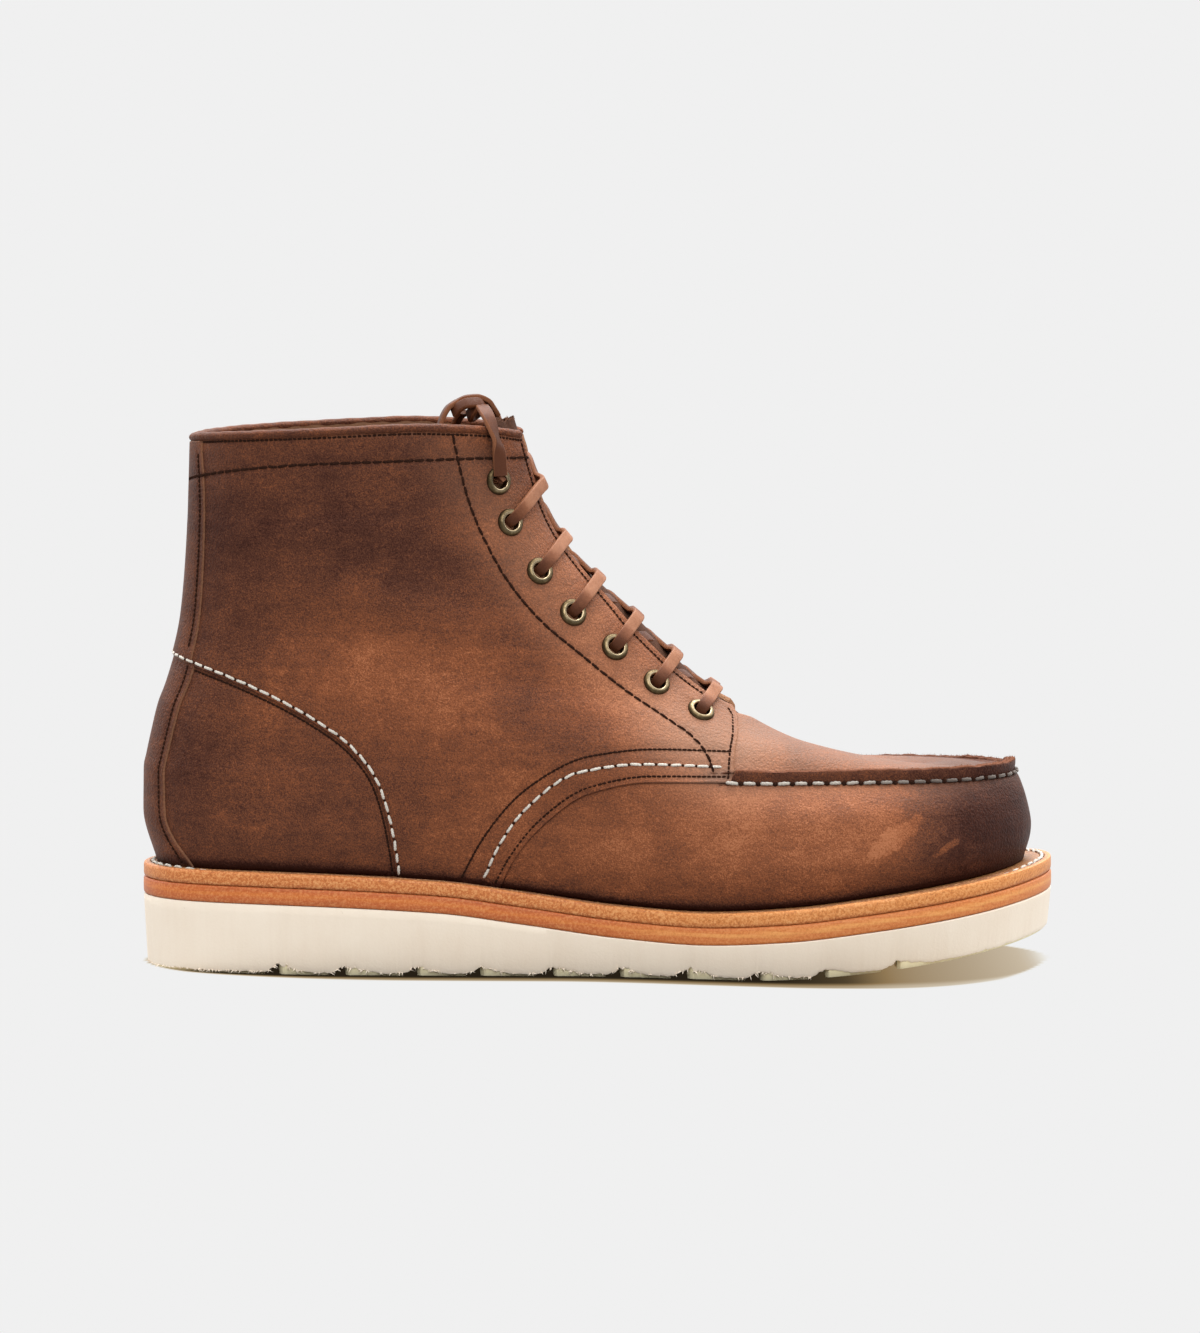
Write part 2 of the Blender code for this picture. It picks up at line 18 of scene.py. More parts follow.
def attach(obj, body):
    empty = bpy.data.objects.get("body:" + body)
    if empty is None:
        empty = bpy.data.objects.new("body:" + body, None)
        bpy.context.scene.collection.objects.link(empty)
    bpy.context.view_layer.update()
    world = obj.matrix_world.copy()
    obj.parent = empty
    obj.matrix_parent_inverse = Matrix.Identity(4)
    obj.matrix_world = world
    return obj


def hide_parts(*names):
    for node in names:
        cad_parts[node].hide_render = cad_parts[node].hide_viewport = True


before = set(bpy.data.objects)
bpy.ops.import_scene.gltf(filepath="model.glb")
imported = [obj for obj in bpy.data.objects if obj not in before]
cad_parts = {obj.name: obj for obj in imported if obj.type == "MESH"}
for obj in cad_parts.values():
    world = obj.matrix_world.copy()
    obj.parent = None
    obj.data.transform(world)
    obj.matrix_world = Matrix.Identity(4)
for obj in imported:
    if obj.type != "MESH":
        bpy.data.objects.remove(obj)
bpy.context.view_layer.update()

MM = 0.001
SEED = 7
BODY = "root"
LATERAL, MEDIAL = -1.0, 1.0
SIDES = (LATERAL, MEDIAL)
SIDE_NAMES = ("lateral", "medial")
UP = np.array([0.0, 0.0, 1.0])

# Sole layers
SEAT = 0.3
MIDSOLE_THICK = 6.1
WELT_THICK = 4.2
WELT_LEDGE = 5.0
LAYER_SHIFT = 0.8
INSOLE_THICK = 3.0
INSOLE_INSET = 3.4
SOLE_DRAFT = 1.2
GROOVE_FIRST = -107.0
GROOVE_PITCH = 22.6
GROOVE_COUNT = 10
SPRING_START = 50.0
SPRING_RISE = 12.4
SPRING_POWER = 1.65

# Upper, tongue, eyelets and lace
WALL = 2.4
THROAT_FOOT = 5.8
LIP_START = 43.2
LIP_BLEND = 2.2
EYELET_HOLE = 2.65
EYELET_LEVELS = (8.42, 7.97, 7.46, 7.0, 6.6, 6.13, 5.5)
LACE_WIDTH = 4.5
LACE_THICK = 1.7
STRAP_WIDTH = 4.3

# One loop around the foot: where it starts and ends, its end radii and its half widths
OUTLINE = "back_x front_x heel_r heel_w waist_w ball_w toe_w toe_r"
Outline = namedtuple("Outline", OUTLINE)
Level = namedtuple("Level", "v " + OUTLINE + " follow back_z waist_z ball_z front_z")
SOLE = Outline(-152.5, 152.5, 34, 35.5, 38.0, 52.5, 38.0, 48)
WELT_HEIGHT = 34.5
LEVELS = {
    "feather":     Level(0, -147.5, 143.5, 30, 31.0, 33.0, 45.5, 33.0, 42, 1, 34.5, 34.5, 34.5, 34.5),
    "bulge":       Level(1, -152.0, 146.0, 33, 34.5, 37.5, 49.0, 35.5, 44, 1, 52.0, 49.0, 48.0, 45.5),
    "shoulder":    Level(1.5, -151.9, 143.9, 32.6, 34.5, 38.9, 46.5, 33.8, 41.6, 0.5, 60.2, 58.7, 56.9, 56.4),
    "seam":        Level(2, -151.8, 140.5, 32, 34.5, 39.5, 38.5, 29.0, 38, 0, 66.0, 66.0, 63.5, 64.0),
    "plug_edge":   Level(3, -151.0, 135.5, 31, 34.0, 39.5, 35.5, 26.0, 34, 0, 70.0, 70.0, 66.5, 64.5),
    "plug":        Level(4, -149.0, 105.0, 30, 33.0, 38.8, 33.5, 19.5, 24, 0, 79.0, 80.0, 75.5, 66.5),
    "vamp":        Level(5, -147.0, 77.0, 29, 31.5, 37.4, 31.0, 15.5, 17, 0, 87.0, 90.0, 85.0, 70.5),
    "throat_foot": Level(6, -144.0, 47.5, 27, 29.5, 36.0, 29.5, 15.0, 17, 0, 95.0, 100.0, 96.5, 85.5),
    "instep":      Level(7, -138.5, 15.0, 26, 27.5, 35.0, 29.5, 15.5, 17, 0, 117.0, 121.0, 120.0, 115.5),
    "ankle":       Level(8, -136.0, -14.0, 25, 27.0, 36.0, 31.5, 16.5, 18, 0, 148.0, 150.0, 150.0, 149.0),
    "collar":      Level(9, -135.0, -24.5, 25, 27.5, 37.5, 33.0, 17.5, 20, 0, 176.5, 179.0, 180.0, 181.5),
}
MARKS = [level.v for level in LEVELS.values()]
WIDTH_STATIONS = (0.0, 0.25, 0.47, 0.65, 0.85, 1.0)
HEIGHT_STATIONS = (0.0, 0.47, 0.65, 1.0)

Height = namedtuple("Height", "x z")
SOLE_TOP = [
    Height(-153, 23.7), Height(-100, 22.9), Height(-52, 20.7), Height(-26, 17.3), Height(7, 12.9),
    Height(34, 11.3), Height(61, 12.7), Height(91, 16.2), Height(122, 20.6), Height(153, 25.5),
]
Bend = namedtuple("Bend", "x y")
CENTRE = [
    Bend(-153, 0.0), Bend(-100, -0.5), Bend(-10, -3.0), Bend(62, -2.0), Bend(110, 2.0), Bend(150, 5.0),
]
SHAFT_Y = 0.0
FOOT_TO = 60.0
SHAFT_FROM = 150.0
Gap = namedtuple("Gap", "v half_width")
THROAT = [
    Gap(0, 14.0), Gap(5.8, 14.0), Gap(6.8, 14.5), Gap(7.4, 12.6), Gap(8.0, 10.5), Gap(8.5, 10.4),
    Gap(9.0, 10.6),
]
EYELET_ROW = [Gap(5.0, 23.3), Gap(5.5, 23.0), Gap(6.13, 22.2), Gap(6.6, 22.6), Gap(7.0, 24.0), Gap(9.0, 24.0)]

# Levels of the collar's edge, which falls towards the throat, and of the band's seam below it
Rise = namedtuple("Rise", "s v")
COLLAR_EDGE = [
    Rise(0.0, 8.955), Rise(0.4, 8.985), Rise(0.585, 9.0), Rise(0.695, 8.97), Rise(0.8, 8.92), Rise(0.9, 8.86),
    Rise(1.0, 8.84),
]
BAND_SEAM = [Rise(0.0, 8.48), Rise(0.45, 8.66), Rise(0.7, 8.67), Rise(1.0, 8.62)]
COLLAR_FRONT_S = 0.9

# Lace from the top eyelets over the collar to the knot, then down into the shaft
CORD_ROUTES = {
    "lace_tie_lateral": [(-32.0, -26.9, 164.5), (-32.6, -26.6, 172.0), (-34.2, -26.2, 178.5),
                         (-36.0, -23.8, 183.4), (-37.6, -18.0, 186.0), (-38.5, -12.4, 186.8)],
    "lace_tie_medial": [(-32.0, 26.9, 164.5), (-32.6, 26.6, 172.0), (-34.0, 26.2, 178.5),
                        (-35.6, 23.8, 183.4), (-37.5, 12.0, 186.5), (-38.6, -1.6, 187.2)],
    "lace_end_lateral": [(-46.7, -7.7, 188.4), (-49.8, -9.0, 186.3), (-52.3, -10.5, 181.0),
                         (-53.4, -11.8, 173.0), (-53.7, -12.6, 164.0), (-53.7, -13.0, 155.0)],
    "lace_end_medial": [(-44.4, -4.3, 184.7), (-46.6, -2.4, 182.4), (-48.4, 0.0, 176.5),
                        (-49.4, 1.6, 168.0), (-49.8, 2.6, 160.0), (-49.8, 3.0, 152.0)],
}

# A smooth step: where it starts, and over what width it goes from 0 to 1
Span = namedtuple("Span", "start width")

# How far each panel's face lies above the form, and how thick its leather is
Panel = namedtuple("Panel", "lift thick")
VAMP = Panel(-0.3, 1.8)
PLUG = Panel(-0.3, 1.8)
COUNTER = Panel(-0.3, 1.6)
QUARTER = Panel(0.6, 1.7)
LOW_STAY = Panel(0.5, 1.5)
HIGH_STAY = Panel(1.3, 1.6)
LINING = Panel(-1.2, 1.1)
BEVEL = 0.35

# Cut edges behind this s or below this level are dressed dark instead of raw, except some of the backstays'
DRESSED_TO_S = 0.4
DRESSED_TO_V = 2.4
DRESSED_TONE = 0.9
STAY_BARE = 0.35

# Darkening of the leather just above the welt, by level: partly burnish, partly painted shade where the upper
# meets the welt; right at the feather line a painted contact shadow
WELT_SHADE_AND_BURNISH = 0.8
SHADE_AND_BURNISH_TO = 0.34
FEATHER_PAINTED_SHADOW = 2.0
FEATHER_SPAN = Span(0.02, 0.1)

# Levels and heights of single panels
LOW_STAY_TOP = 6.45
TONGUE_CROWN = 1.7
PLUG_SWELL = 0.7
PLUG_FALL = 4.2
CREST_FALL = 2.7
COLLAR_V = 8.93

# Steps of the panels' meshes: points, rows of points by height, and how clear of fixed points the grid stays
MESH_STEP = 1.5
EDGE_STEP = 1.3
ROW_PITCH = 0.87
GRID_CLEAR = 0.75

# Panel edges and seams in side elevation
Spot = namedtuple("Spot", "x z")
TAB_EDGE = [Spot(44.4, 87.2), Spot(46.0, 84.4), Spot(46.0, 80.5), Spot(45.0, 74.6), Spot(44.5, 69.0),
            Spot(44.3, 65.6)]
QUARTER_EDGE = [Spot(43.4, 64.5), Spot(17.1, 64.7), Spot(-2.6, 61.1), Spot(-17.0, 51.4), Spot(-27.8, 38.7),
                Spot(-32.4, 29.2)]
EYESTAY_SEAM = [Spot(-48.2, 179.6), Spot(-46.2, 169.9), Spot(-42.6, 156.0), Spot(-38.0, 144.7),
                Spot(-30.7, 131.2), Spot(-19.5, 117.3), Spot(-5.6, 105.4), Spot(9.6, 93.2), Spot(23.1, 84.2),
                Spot(31.3, 78.5), Spot(36.2, 72.5), Spot(38.4, 66.4)]
QUARTER_UPPER_SEAM = [Spot(44.2, 73.9), Spot(17.1, 75.0), Spot(-2.6, 73.0),
                      Spot(-23.6, 62.2), Spot(-38.0, 45.5), Spot(-45.1, 32.2)]
QUARTER_WHITE_SEAM = [Spot(42.7, 69.0), Spot(13.8, 70.3), Spot(-5.9, 67.9),
                      Spot(-23.8, 55.6), Spot(-33.2, 42.2), Spot(-38.2, 30.6)]
QUARTER_LOWER_SEAM = [Spot(42.7, 66.0), Spot(17.1, 66.4), Spot(-2.6, 63.0),
                      Spot(-18.8, 52.3), Spot(-29.6, 38.8), Spot(-34.1, 30.2)]
COUNTER_WHITE_SEAM = [Spot(-65.4, 32.0), Spot(-66.3, 39.9), Spot(-68.9, 53.9), Spot(-73.0, 65.6),
                      Spot(-81.4, 76.2), Spot(-93.8, 85.0), Spot(-106.3, 91.6), Spot(-120.0, 97.4),
                      Spot(-140.1, 104.0), Spot(-143.0, 104.8)]
COUNTER_EDGE_GAP = 0.9
COUNTER_DARK_GAP = 2.3

# Half width of the backstay strips
LOW_STAY_EDGE = [Gap(0.02, 22.9), Gap(0.12, 22.7), Gap(0.55, 21.6), Gap(1.3, 20.2), Gap(3.0, 19.4),
                 Gap(6.0, 19.3), Gap(6.45, 18.8)]
HIGH_STAY_EDGE = [Gap(6.2, 18.2), Gap(7.16, 17.3), Gap(8.25, 16.5), Gap(8.93, 14.6)]

# Threads: pitch, length and cross-section of a stitch, the ripple of its twist and how it is meshed
Thread = namedtuple("Thread", "pitch length width height ripple sides rings")
WHITE = Thread(4.45, 4.1, 0.9, 0.8, 0.15, 8, 9)
MOC = Thread(5.7, 4.2, 1.15, 0.95, 0.18, 8, 11)
WELT_THREAD = Thread(5.1, 3.9, 1.15, 0.9, 0.13, 8, 9)
FINE = Thread(1.65, 1.8, 0.72, 0.5, 0.0, 6, 5)
LONG = Thread(3.5, 3.65, 0.9, 0.62, 0.1, 6, 7)
# Flat dark stubs in the stitch holes between white stitches: painted shade of the holes
STITCH_HOLE_SHADE = Thread(4.45, 1.0, 0.95, 0.3, 0.0, 6, 4)
MOC_HOLE_SHADE = Thread(5.7, 2.0, 1.4, 0.7, 0.0, 6, 4)


# Smooth curves and the last's form

def smooth(xs, ys, x, level_ends=False):
    """Monotone cubic through (xs, ys), read at x; ys may hold a column of its own for each x."""
    xs = np.asarray(xs, float)
    x = np.atleast_1d(np.asarray(x, float))
    ys = np.broadcast_to(np.asarray(ys, float).reshape(len(xs), -1), (len(xs), x.size))
    step = np.diff(xs)[:, None]
    secant = np.diff(ys, axis=0) / step
    before, after = secant[:-1], secant[1:]
    weight_before = 2 * step[1:] + step[:-1]
    weight_after = step[1:] + 2 * step[:-1]
    turning = before * after <= 0
    mean = np.where(turning, 1.0, weight_before * after + weight_after * before)
    slope = np.empty(ys.shape)
    slope[1:-1] = np.where(turning, 0.0, (weight_before + weight_after) * before * after / mean)
    slope[0] = 0.0 if level_ends else secant[0]
    slope[-1] = 0.0 if level_ends else secant[-1]
    i = np.clip(np.searchsorted(xs, x, side="right") - 1, 0, len(xs) - 2)
    k = np.arange(x.size)
    width = np.diff(xs)[i]
    t = (x - xs[i]) / width
    start = (1 + 2 * t) * (1 - t) ** 2 * ys[i, k] + t * (1 - t) ** 2 * width * slope[i, k]
    end = t * t * (3 - 2 * t) * ys[i + 1, k] + t * t * (t - 1) * width * slope[i + 1, k]
    return start + end


def read(table, x, column=1):
    """A column of a table, read smoothly at x in its first column."""
    return smooth([row[0] for row in table], [row[column] for row in table], x)


def blend(edge, width, x):
    """0 below edge, 1 above edge + width, smooth between."""
    t = np.clip((x - edge) / width, 0, 1)
    return t * t * (3 - 2 * t)


def along(loop, s):
    """x at s on a loop."""
    return loop.back_x + (loop.front_x - loop.back_x) * (1 - np.cos(np.pi * s)) / 2


def s_at_x(loop, x):
    share = np.clip((x - loop.back_x) / (loop.front_x - loop.back_x), 0, 1)
    return np.arccos(1 - 2 * share) / np.pi


def half_width(loop, s):
    """Half width at s on a loop, round at both ends."""
    half_length = (loop.front_x - loop.back_x) / 2
    sides = np.sin(np.pi * np.array(WIDTH_STATIONS[1:-1]))
    widths = (loop.heel_w, loop.waist_w, loop.ball_w, loop.toe_w)
    full = [np.sqrt(loop.heel_r * half_length)]
    full += [width / side for width, side in zip(widths, sides)]
    full.append(np.sqrt(loop.toe_r * half_length))
    return smooth(WIDTH_STATIONS, np.stack(full), s, level_ends=True) * np.sin(np.pi * s)


def inset(loop, distance):
    """The outline of a loop, drawn in by a distance all round."""
    return Outline(loop.back_x + distance, loop.front_x - distance, loop.heel_r - distance,
                   loop.heel_w - distance, loop.waist_w - distance, loop.ball_w - distance,
                   loop.toe_w - distance, loop.toe_r - distance)


def sole_top(x):
    return read(SOLE_TOP, x)


def midsole_top(x):
    return sole_top(x) + SEAT + MIDSOLE_THICK


def welt_top(x):
    return midsole_top(x) + WELT_THICK


def centre_y(x, z):
    """The foot's bent centre line, which straightens into the shaft's."""
    bend = read(CENTRE, x)
    up = np.clip((z - FOOT_TO) / (SHAFT_FROM - FOOT_TO), 0, 1)
    return bend + (SHAFT_Y - bend) * up


def level_at(v):
    return Level(*[smooth(MARKS, column, v) for column in zip(*LEVELS.values())])


def form(s, v, side):
    """Points of the upper's outer form, one row each of x, y, z."""
    s, v, side = np.broadcast_arrays(*(np.atleast_1d(np.asarray(a, float)) for a in (s, v, side)))
    level = level_at(v)
    x = along(level, s)
    heights = np.stack([level.back_z, level.waist_z, level.ball_z, level.front_z])
    z = smooth(HEIGHT_STATIONS, heights, s) + level.follow * (welt_top(x) + SEAT - WELT_HEIGHT)
    y = centre_y(x, z) + side * half_width(level, s)
    return np.stack([x, y, z], axis=1)


def unit(vectors):
    return vectors / np.maximum(np.linalg.norm(vectors, axis=-1, keepdims=True), 1e-9)


def outward(s, v, side):
    """Unit normals of the form."""
    ds, dv = 1e-3, 1e-2
    forward = form(s + ds, v, side) - form(s - ds, v, side)
    up = form(s, v + dv, side) - form(s, v - dv, side)
    return unit(np.cross(forward, up) * -np.atleast_1d(side)[:, None])


def s_at_width(v, width, front=True):
    """s in the front or back half of a level where the form is as wide as this on each side."""
    level = level_at(v)
    wide = np.full(np.shape(level.back_x), 0.5)
    narrow = np.full_like(wide, 1.0 if front else 0.0)
    for _ in range(40):
        middle = (wide + narrow) / 2
        wider = half_width(level, middle) > width
        wide = np.where(wider, middle, wide)
        narrow = np.where(wider, narrow, middle)
    return (wide + narrow) / 2


def throat_half(v):
    return read(THROAT, v)


def eyelet_half(v):
    return read(EYELET_ROW, v)


def on_form(v, across, lift):
    """Points that lie lift above the form, at a level and a signed distance across; with normals."""
    v, across = (np.atleast_1d(np.asarray(a, float)) for a in (v, across))
    side = np.where(across < 0, -1.0, 1.0)
    s = s_at_width(v, np.abs(across))
    normal = outward(s, v, side)
    return form(s, v, side) + normal * np.reshape(lift, (-1, 1)), normal


def curve_through(points, step):
    """Points about a step apart on a smooth curve through the given points."""
    points = np.asarray(points, float)
    t = np.concatenate([[0], np.cumsum(np.linalg.norm(np.diff(points, axis=0), axis=1))])
    at = np.linspace(0, t[-1], max(2, math.ceil(t[-1] / step) + 1))
    return np.stack([smooth(t, column, at) for column in points.T], axis=1)


def from_elevation(spots, step=EDGE_STEP):
    """s and v along a smooth curve through places given in side elevation."""
    x, z = curve_through(spots, step).T
    low, high = np.zeros_like(x), np.full_like(x, MARKS[-1])
    for _ in range(30):
        v = (low + high) / 2
        s = s_at_x(level_at(v), x)
        above = form(s, v, LATERAL)[:, 2] > z
        high = np.where(above, v, high)
        low = np.where(above, low, v)
    return np.stack([s, v], axis=1)


def out_and_back(half):
    """s and side along a line on the outer side, then back along its mirror image on the inner side."""
    s = np.concatenate([half, half[-2::-1]])
    return s, np.concatenate([np.full(len(half), LATERAL), np.full(len(half) - 1, MEDIAL)])


# Meshes

def add_piece(name, points, faces, finish, slot, stands_for=(), sharp=45, **attributes):
    """A piece of the boot from points in millimetres; attributes hold one number for each point."""
    mesh = bpy.data.meshes.new(name)
    mesh.from_pydata((np.asarray(points) * MM).tolist(), [], [list(map(int, face)) for face in faces])
    bm = bmesh.new()
    bm.from_mesh(mesh)
    bmesh.ops.recalc_face_normals(bm, faces=bm.faces)
    bm.to_mesh(mesh)
    bm.free()
    for key, values in attributes.items():
        layer = mesh.attributes.new(key, "FLOAT", "POINT")
        layer.data.foreach_set("value", np.broadcast_to(values, len(points)).astype(np.float32))
    mesh.shade_smooth()
    mesh.set_sharp_from_angle(angle=math.radians(sharp))
    mesh.materials.append(finish)
    piece = bpy.data.objects.new(name, mesh)
    bpy.context.scene.collection.objects.link(piece)
    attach(piece, BODY)
    if stands_for:
        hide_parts(*stands_for)
    return piece


class Heap:
    """Points and faces gathered from several parts that become one mesh."""

    def __init__(self):
        self.points, self.faces, self.values, self.count = [], [], [], 0

    def add(self, points, faces, value=0.0):
        self.points.append(points)
        self.faces += [[i + self.count for i in face] for face in faces]
        self.values.append(np.broadcast_to(value, len(points)))
        self.count += len(points)

    def mesh(self):
        return np.concatenate(self.points), self.faces

    def value(self):
        return np.concatenate(self.values)


def tube_faces(rings, sides, closed=False):
    """Quads between rings of points; an open tube is capped at both ends."""
    faces = []
    for i in range(rings if closed else rings - 1):
        j = (i + 1) % rings
        for k in range(sides):
            m = (k + 1) % sides
            faces.append((i * sides + k, i * sides + m, j * sides + m, j * sides + k))
    if not closed:
        faces.append(tuple(range(sides)))
        faces.append(tuple((rings - 1) * sides + k for k in range(sides)))
    return faces


def grid_cells(rows, around, closed=False):
    """Quads between the rows of a grid of points."""
    cells = []
    for low in range(0, (rows - 1) * around, around):
        high = low + around
        for c in range(around if closed else around - 1):
            beyond = (c + 1) % around
            cells.append((low + c, low + beyond, high + beyond, high + c))
    return cells


def wall_faces(cells, count):
    """Faces of a closed wall between two grids of count points, with a rim along every open edge."""
    edges = {edge for cell in cells for edge in zip(cell, cell[1:] + cell[:1])}
    faces = list(cells)
    faces += [tuple(i + count for i in reversed(cell)) for cell in cells]
    faces += [(b, a, a + count, b + count) for a, b in edges if (b, a) not in edges]
    return faces


def sweep(path, across, up, section, size=1.0):
    """A closed tube: a section of offsets across and up, carried along a path and scaled by size."""
    size = np.broadcast_to(size, len(path))[:, None, None]
    points = (path[:, None] + size * section[None, :, :1] * across[:, None]
              + size * section[None, :, 1:] * up[:, None])
    return points.reshape(-1, 3), tube_faces(len(path), len(section))


def frames(path, normal):
    """Directions across and up for a path that lies flat on the given normals."""
    forward = unit(np.gradient(path, axis=0))
    across = unit(np.cross(normal, forward))
    return across, np.cross(forward, across)


def rounded(width, thick, count=20, corner=0.24):
    """Section of a flat strip with rounded edges."""
    angle = 2 * np.pi * np.arange(count) / count
    cos, sin = np.cos(angle), np.sin(angle)
    return np.stack([width / 2 * np.sign(cos) * np.abs(cos) ** corner,
                     thick / 2 * np.sign(sin) * np.abs(sin) ** (corner + 0.16)], axis=1)


# Flat charts of the upper, in which panels are cut

Chart = namedtuple("Chart", "from_front across marks heights")
SIDE_CHART = Chart(False, 300.0, MARKS, [level.waist_z for level in LEVELS.values()])
WALL_CHART = Chart(True, 300.0, (0.0, 2.2), (0.0, 36.0))
PLUG_CHART = Chart(True, 300.0, (2.5, 6.5), (0.0, 116.0))


def flatten(chart, place, side):
    """Chart points of an array of (s, v)."""
    s, v = np.asarray(place, float).T
    turn = 1 - s if chart.from_front else s
    return np.stack([side * turn * chart.across, np.interp(v, chart.marks, chart.heights)], axis=1)


def unflatten(chart, flat):
    turn = np.abs(flat[:, 0]) / chart.across
    s = 1 - turn if chart.from_front else turn
    side = np.where(flat[:, 0] < 0, LATERAL, MEDIAL)
    return s, np.interp(flat[:, 1], chart.heights, chart.marks), side


def tree_of(points):
    tree = KDTree(len(points))
    for index, point in enumerate(points):
        tree.insert((*point, 0.0)[:3], index)
    tree.balance()
    return tree


def distances(points, tree):
    return np.array([tree.find((*point, 0.0)[:3])[2] for point in points])


def inside(points, loop):
    """Which points lie inside a closed loop."""
    x, y = points[:, :1], points[:, 1:]
    x0, y0 = loop.T
    x1, y1 = np.roll(loop, -1, axis=0).T
    rise = np.where(y1 == y0, 1.0, y1 - y0)
    crossed = ((y0 > y) != (y1 > y)) & (x < x0 + (y - y0) * (x1 - x0) / rise)
    return crossed.sum(axis=1) % 2 == 1


def fill(loop, rows, holes):
    """Points and triangles inside a loop, with rows of points kept and round holes left open."""
    fixed = [loop, *rows, *holes]
    edges = []
    start = len(loop)
    for row in fixed[1:]:
        ring = any(row is hole for hole in holes)
        edges += [(start + i, start + i + 1) for i in range(len(row) - 1)]
        edges += [(start + len(row) - 1, start)] * ring
        start += len(row)
    low, high = loop.min(axis=0), loop.max(axis=0)
    grid = []
    for i, y in enumerate(np.arange(low[1], high[1], MESH_STEP * ROW_PITCH)):
        x = np.arange(low[0] + (i % 2) * MESH_STEP / 2, high[0], MESH_STEP)
        grid.append(np.stack([x, np.full(len(x), y)], axis=1))
    grid = np.concatenate(grid)
    grid = grid[inside(grid, loop)]
    grid = grid[distances(grid, tree_of(np.concatenate(fixed))) > GRID_CLEAR * MESH_STEP]
    points = np.concatenate([*fixed, grid])
    made = delaunay_2d_cdt([Vector(point) for point in points], edges, [list(range(len(loop)))], 1, 1e-5)
    flat = np.array([tuple(point) for point in made[0]])
    triangles = np.array(made[2])
    middles = flat[triangles].mean(axis=1)
    kept = inside(middles, loop)
    for hole in holes:
        kept &= ~inside(middles, hole)
    return flat, triangles[kept]


def panel(name, loop, chart, layer, finish, rows=(), holes=(), lift_at=None, bare=0.0):
    """A closed leather shell cut from the form, with a bevelled rim. Loop, rows and holes are chart points.

    Rims low on the boot or at its back are dressed dark, unless bare says how much of their raw edge shows.
    """
    flat, triangles = fill(loop, rows, holes)
    used, triangles = np.unique(triangles, return_inverse=True)
    triangles = triangles.reshape(-1, 3)
    s, v, side = unflatten(chart, flat[used])
    base, normal = form(s, v, side), outward(s, v, side)
    sides = base[triangles]
    facing = np.cross(sides[:, 1] - sides[:, 0], sides[:, 2] - sides[:, 0])
    if (facing * normal[triangles[:, 0]]).sum() < 0:
        triangles = triangles[:, ::-1]
    lift = layer.lift + relief(base, side) - seam_dip(base)
    if lift_at is not None:
        lift = lift + lift_at(base, v)
    count = len(base)
    cells = [tuple(int(i) for i in face) for face in triangles]
    edges = {edge for cell in cells for edge in zip(cell, cell[1:] + cell[:1])}
    rim = [(a, b) for a, b in edges if (b, a) not in edges]
    after = dict(rim)
    before = {b: a for a, b in rim}
    border = sorted(after)
    place = {old: new for new, old in enumerate(border)}
    along_rim = base[[after[i] for i in border]] - base[[before[i] for i in border]]
    away = unit(np.cross(along_rim, normal[border]))
    brink = base[border] + away * BEVEL
    ring_top = brink + normal[border] * (lift[border] - BEVEL)[:, None]
    ring_low = brink + normal[border] * (lift[border] - layer.thick)[:, None]
    outer = base + normal * lift[:, None]
    inner = base + normal * (lift - layer.thick)[:, None]
    points = np.concatenate([outer, inner, ring_top, ring_low])
    top, low = 2 * count, 2 * count + len(border)
    faces = cells + [tuple(i + count for i in reversed(cell)) for cell in cells]
    for a, b in rim:
        p, q = place[a], place[b]
        faces.append((b, a, top + p, top + q))
        faces.append((top + q, top + p, low + p, low + q))
        faces.append((low + q, low + p, a + count, b + count))
    dressed = ((s < DRESSED_TO_S) | (v < DRESSED_TO_V))[border]
    show = np.where(dressed, bare, 1.0)
    raw, edge = np.zeros(len(points)), np.zeros(len(points))
    raw[top:] = np.tile(show, 2)
    edge[border] = show
    edge[top:] = np.tile(show, 2)
    sides = np.concatenate([side, side, side[border], side[border]])
    tone = tones(points, sides)
    tone[top:] -= np.tile(np.where(dressed & (bare == 0.0), DRESSED_TONE, 0.0), 2)
    heights = np.concatenate([v, v, v[border], v[border]])
    # Painted shade just above the welt, partly burnish, and a painted contact shadow at the feather line
    shade_and_burnish = WELT_SHADE_AND_BURNISH * (1 - blend(0.0, SHADE_AND_BURNISH_TO, heights))
    tone -= shade_and_burnish + FEATHER_PAINTED_SHADOW * (1 - blend(*FEATHER_SPAN, heights))
    add_piece(name, points, faces, finish, "upper", ("upper",), tone=tone, raw=raw, edge=edge,
              bloom=tones(points, sides, SHEEN_PATCHES))


# Creases, seam dips and tones

# Soft troughs (depth above 0) and ridges (below 0) in side elevation: middle, length, lean, width
Crease = namedtuple("Crease", "x z length lean width depth")
CREASE_SHIFT = 4.0
CREASES = [
    Crease(-98, 153, 62, 3, 3.2, 0.35), Crease(-88, 146, 50, 6, 4.0, -0.30),
    Crease(-104, 138, 40, 4, 4.0, 0.30), Crease(-70, 132, 60, -8, 6.0, 0.35),
    Crease(-60, 119, 56, -14, 7.0, -0.40), Crease(-82, 112, 60, -4, 7.0, 0.40),
    Crease(-40, 98, 44, -20, 7.0, 0.35), Crease(-96, 100, 40, -16, 6.0, -0.35),
    Crease(-28, 82, 50, -10, 8.0, 0.30), Crease(26, 70, 40, -4, 6.0, 0.25),
    Crease(30, 54, 70, -4, 7.0, 0.30), Crease(72, 56, 50, -3, 7.0, -0.25),
    Crease(-36, 150, 16, 60, 3.5, 0.35), Crease(-24, 138, 16, 52, 3.5, 0.35),
    Crease(-10, 124, 16, 46, 3.5, 0.30), Crease(4, 110, 16, 42, 3.5, 0.30),
    Crease(18, 98, 16, 40, 3.5, 0.30), Crease(-118, 66, 40, 80, 7.0, 0.30),
]


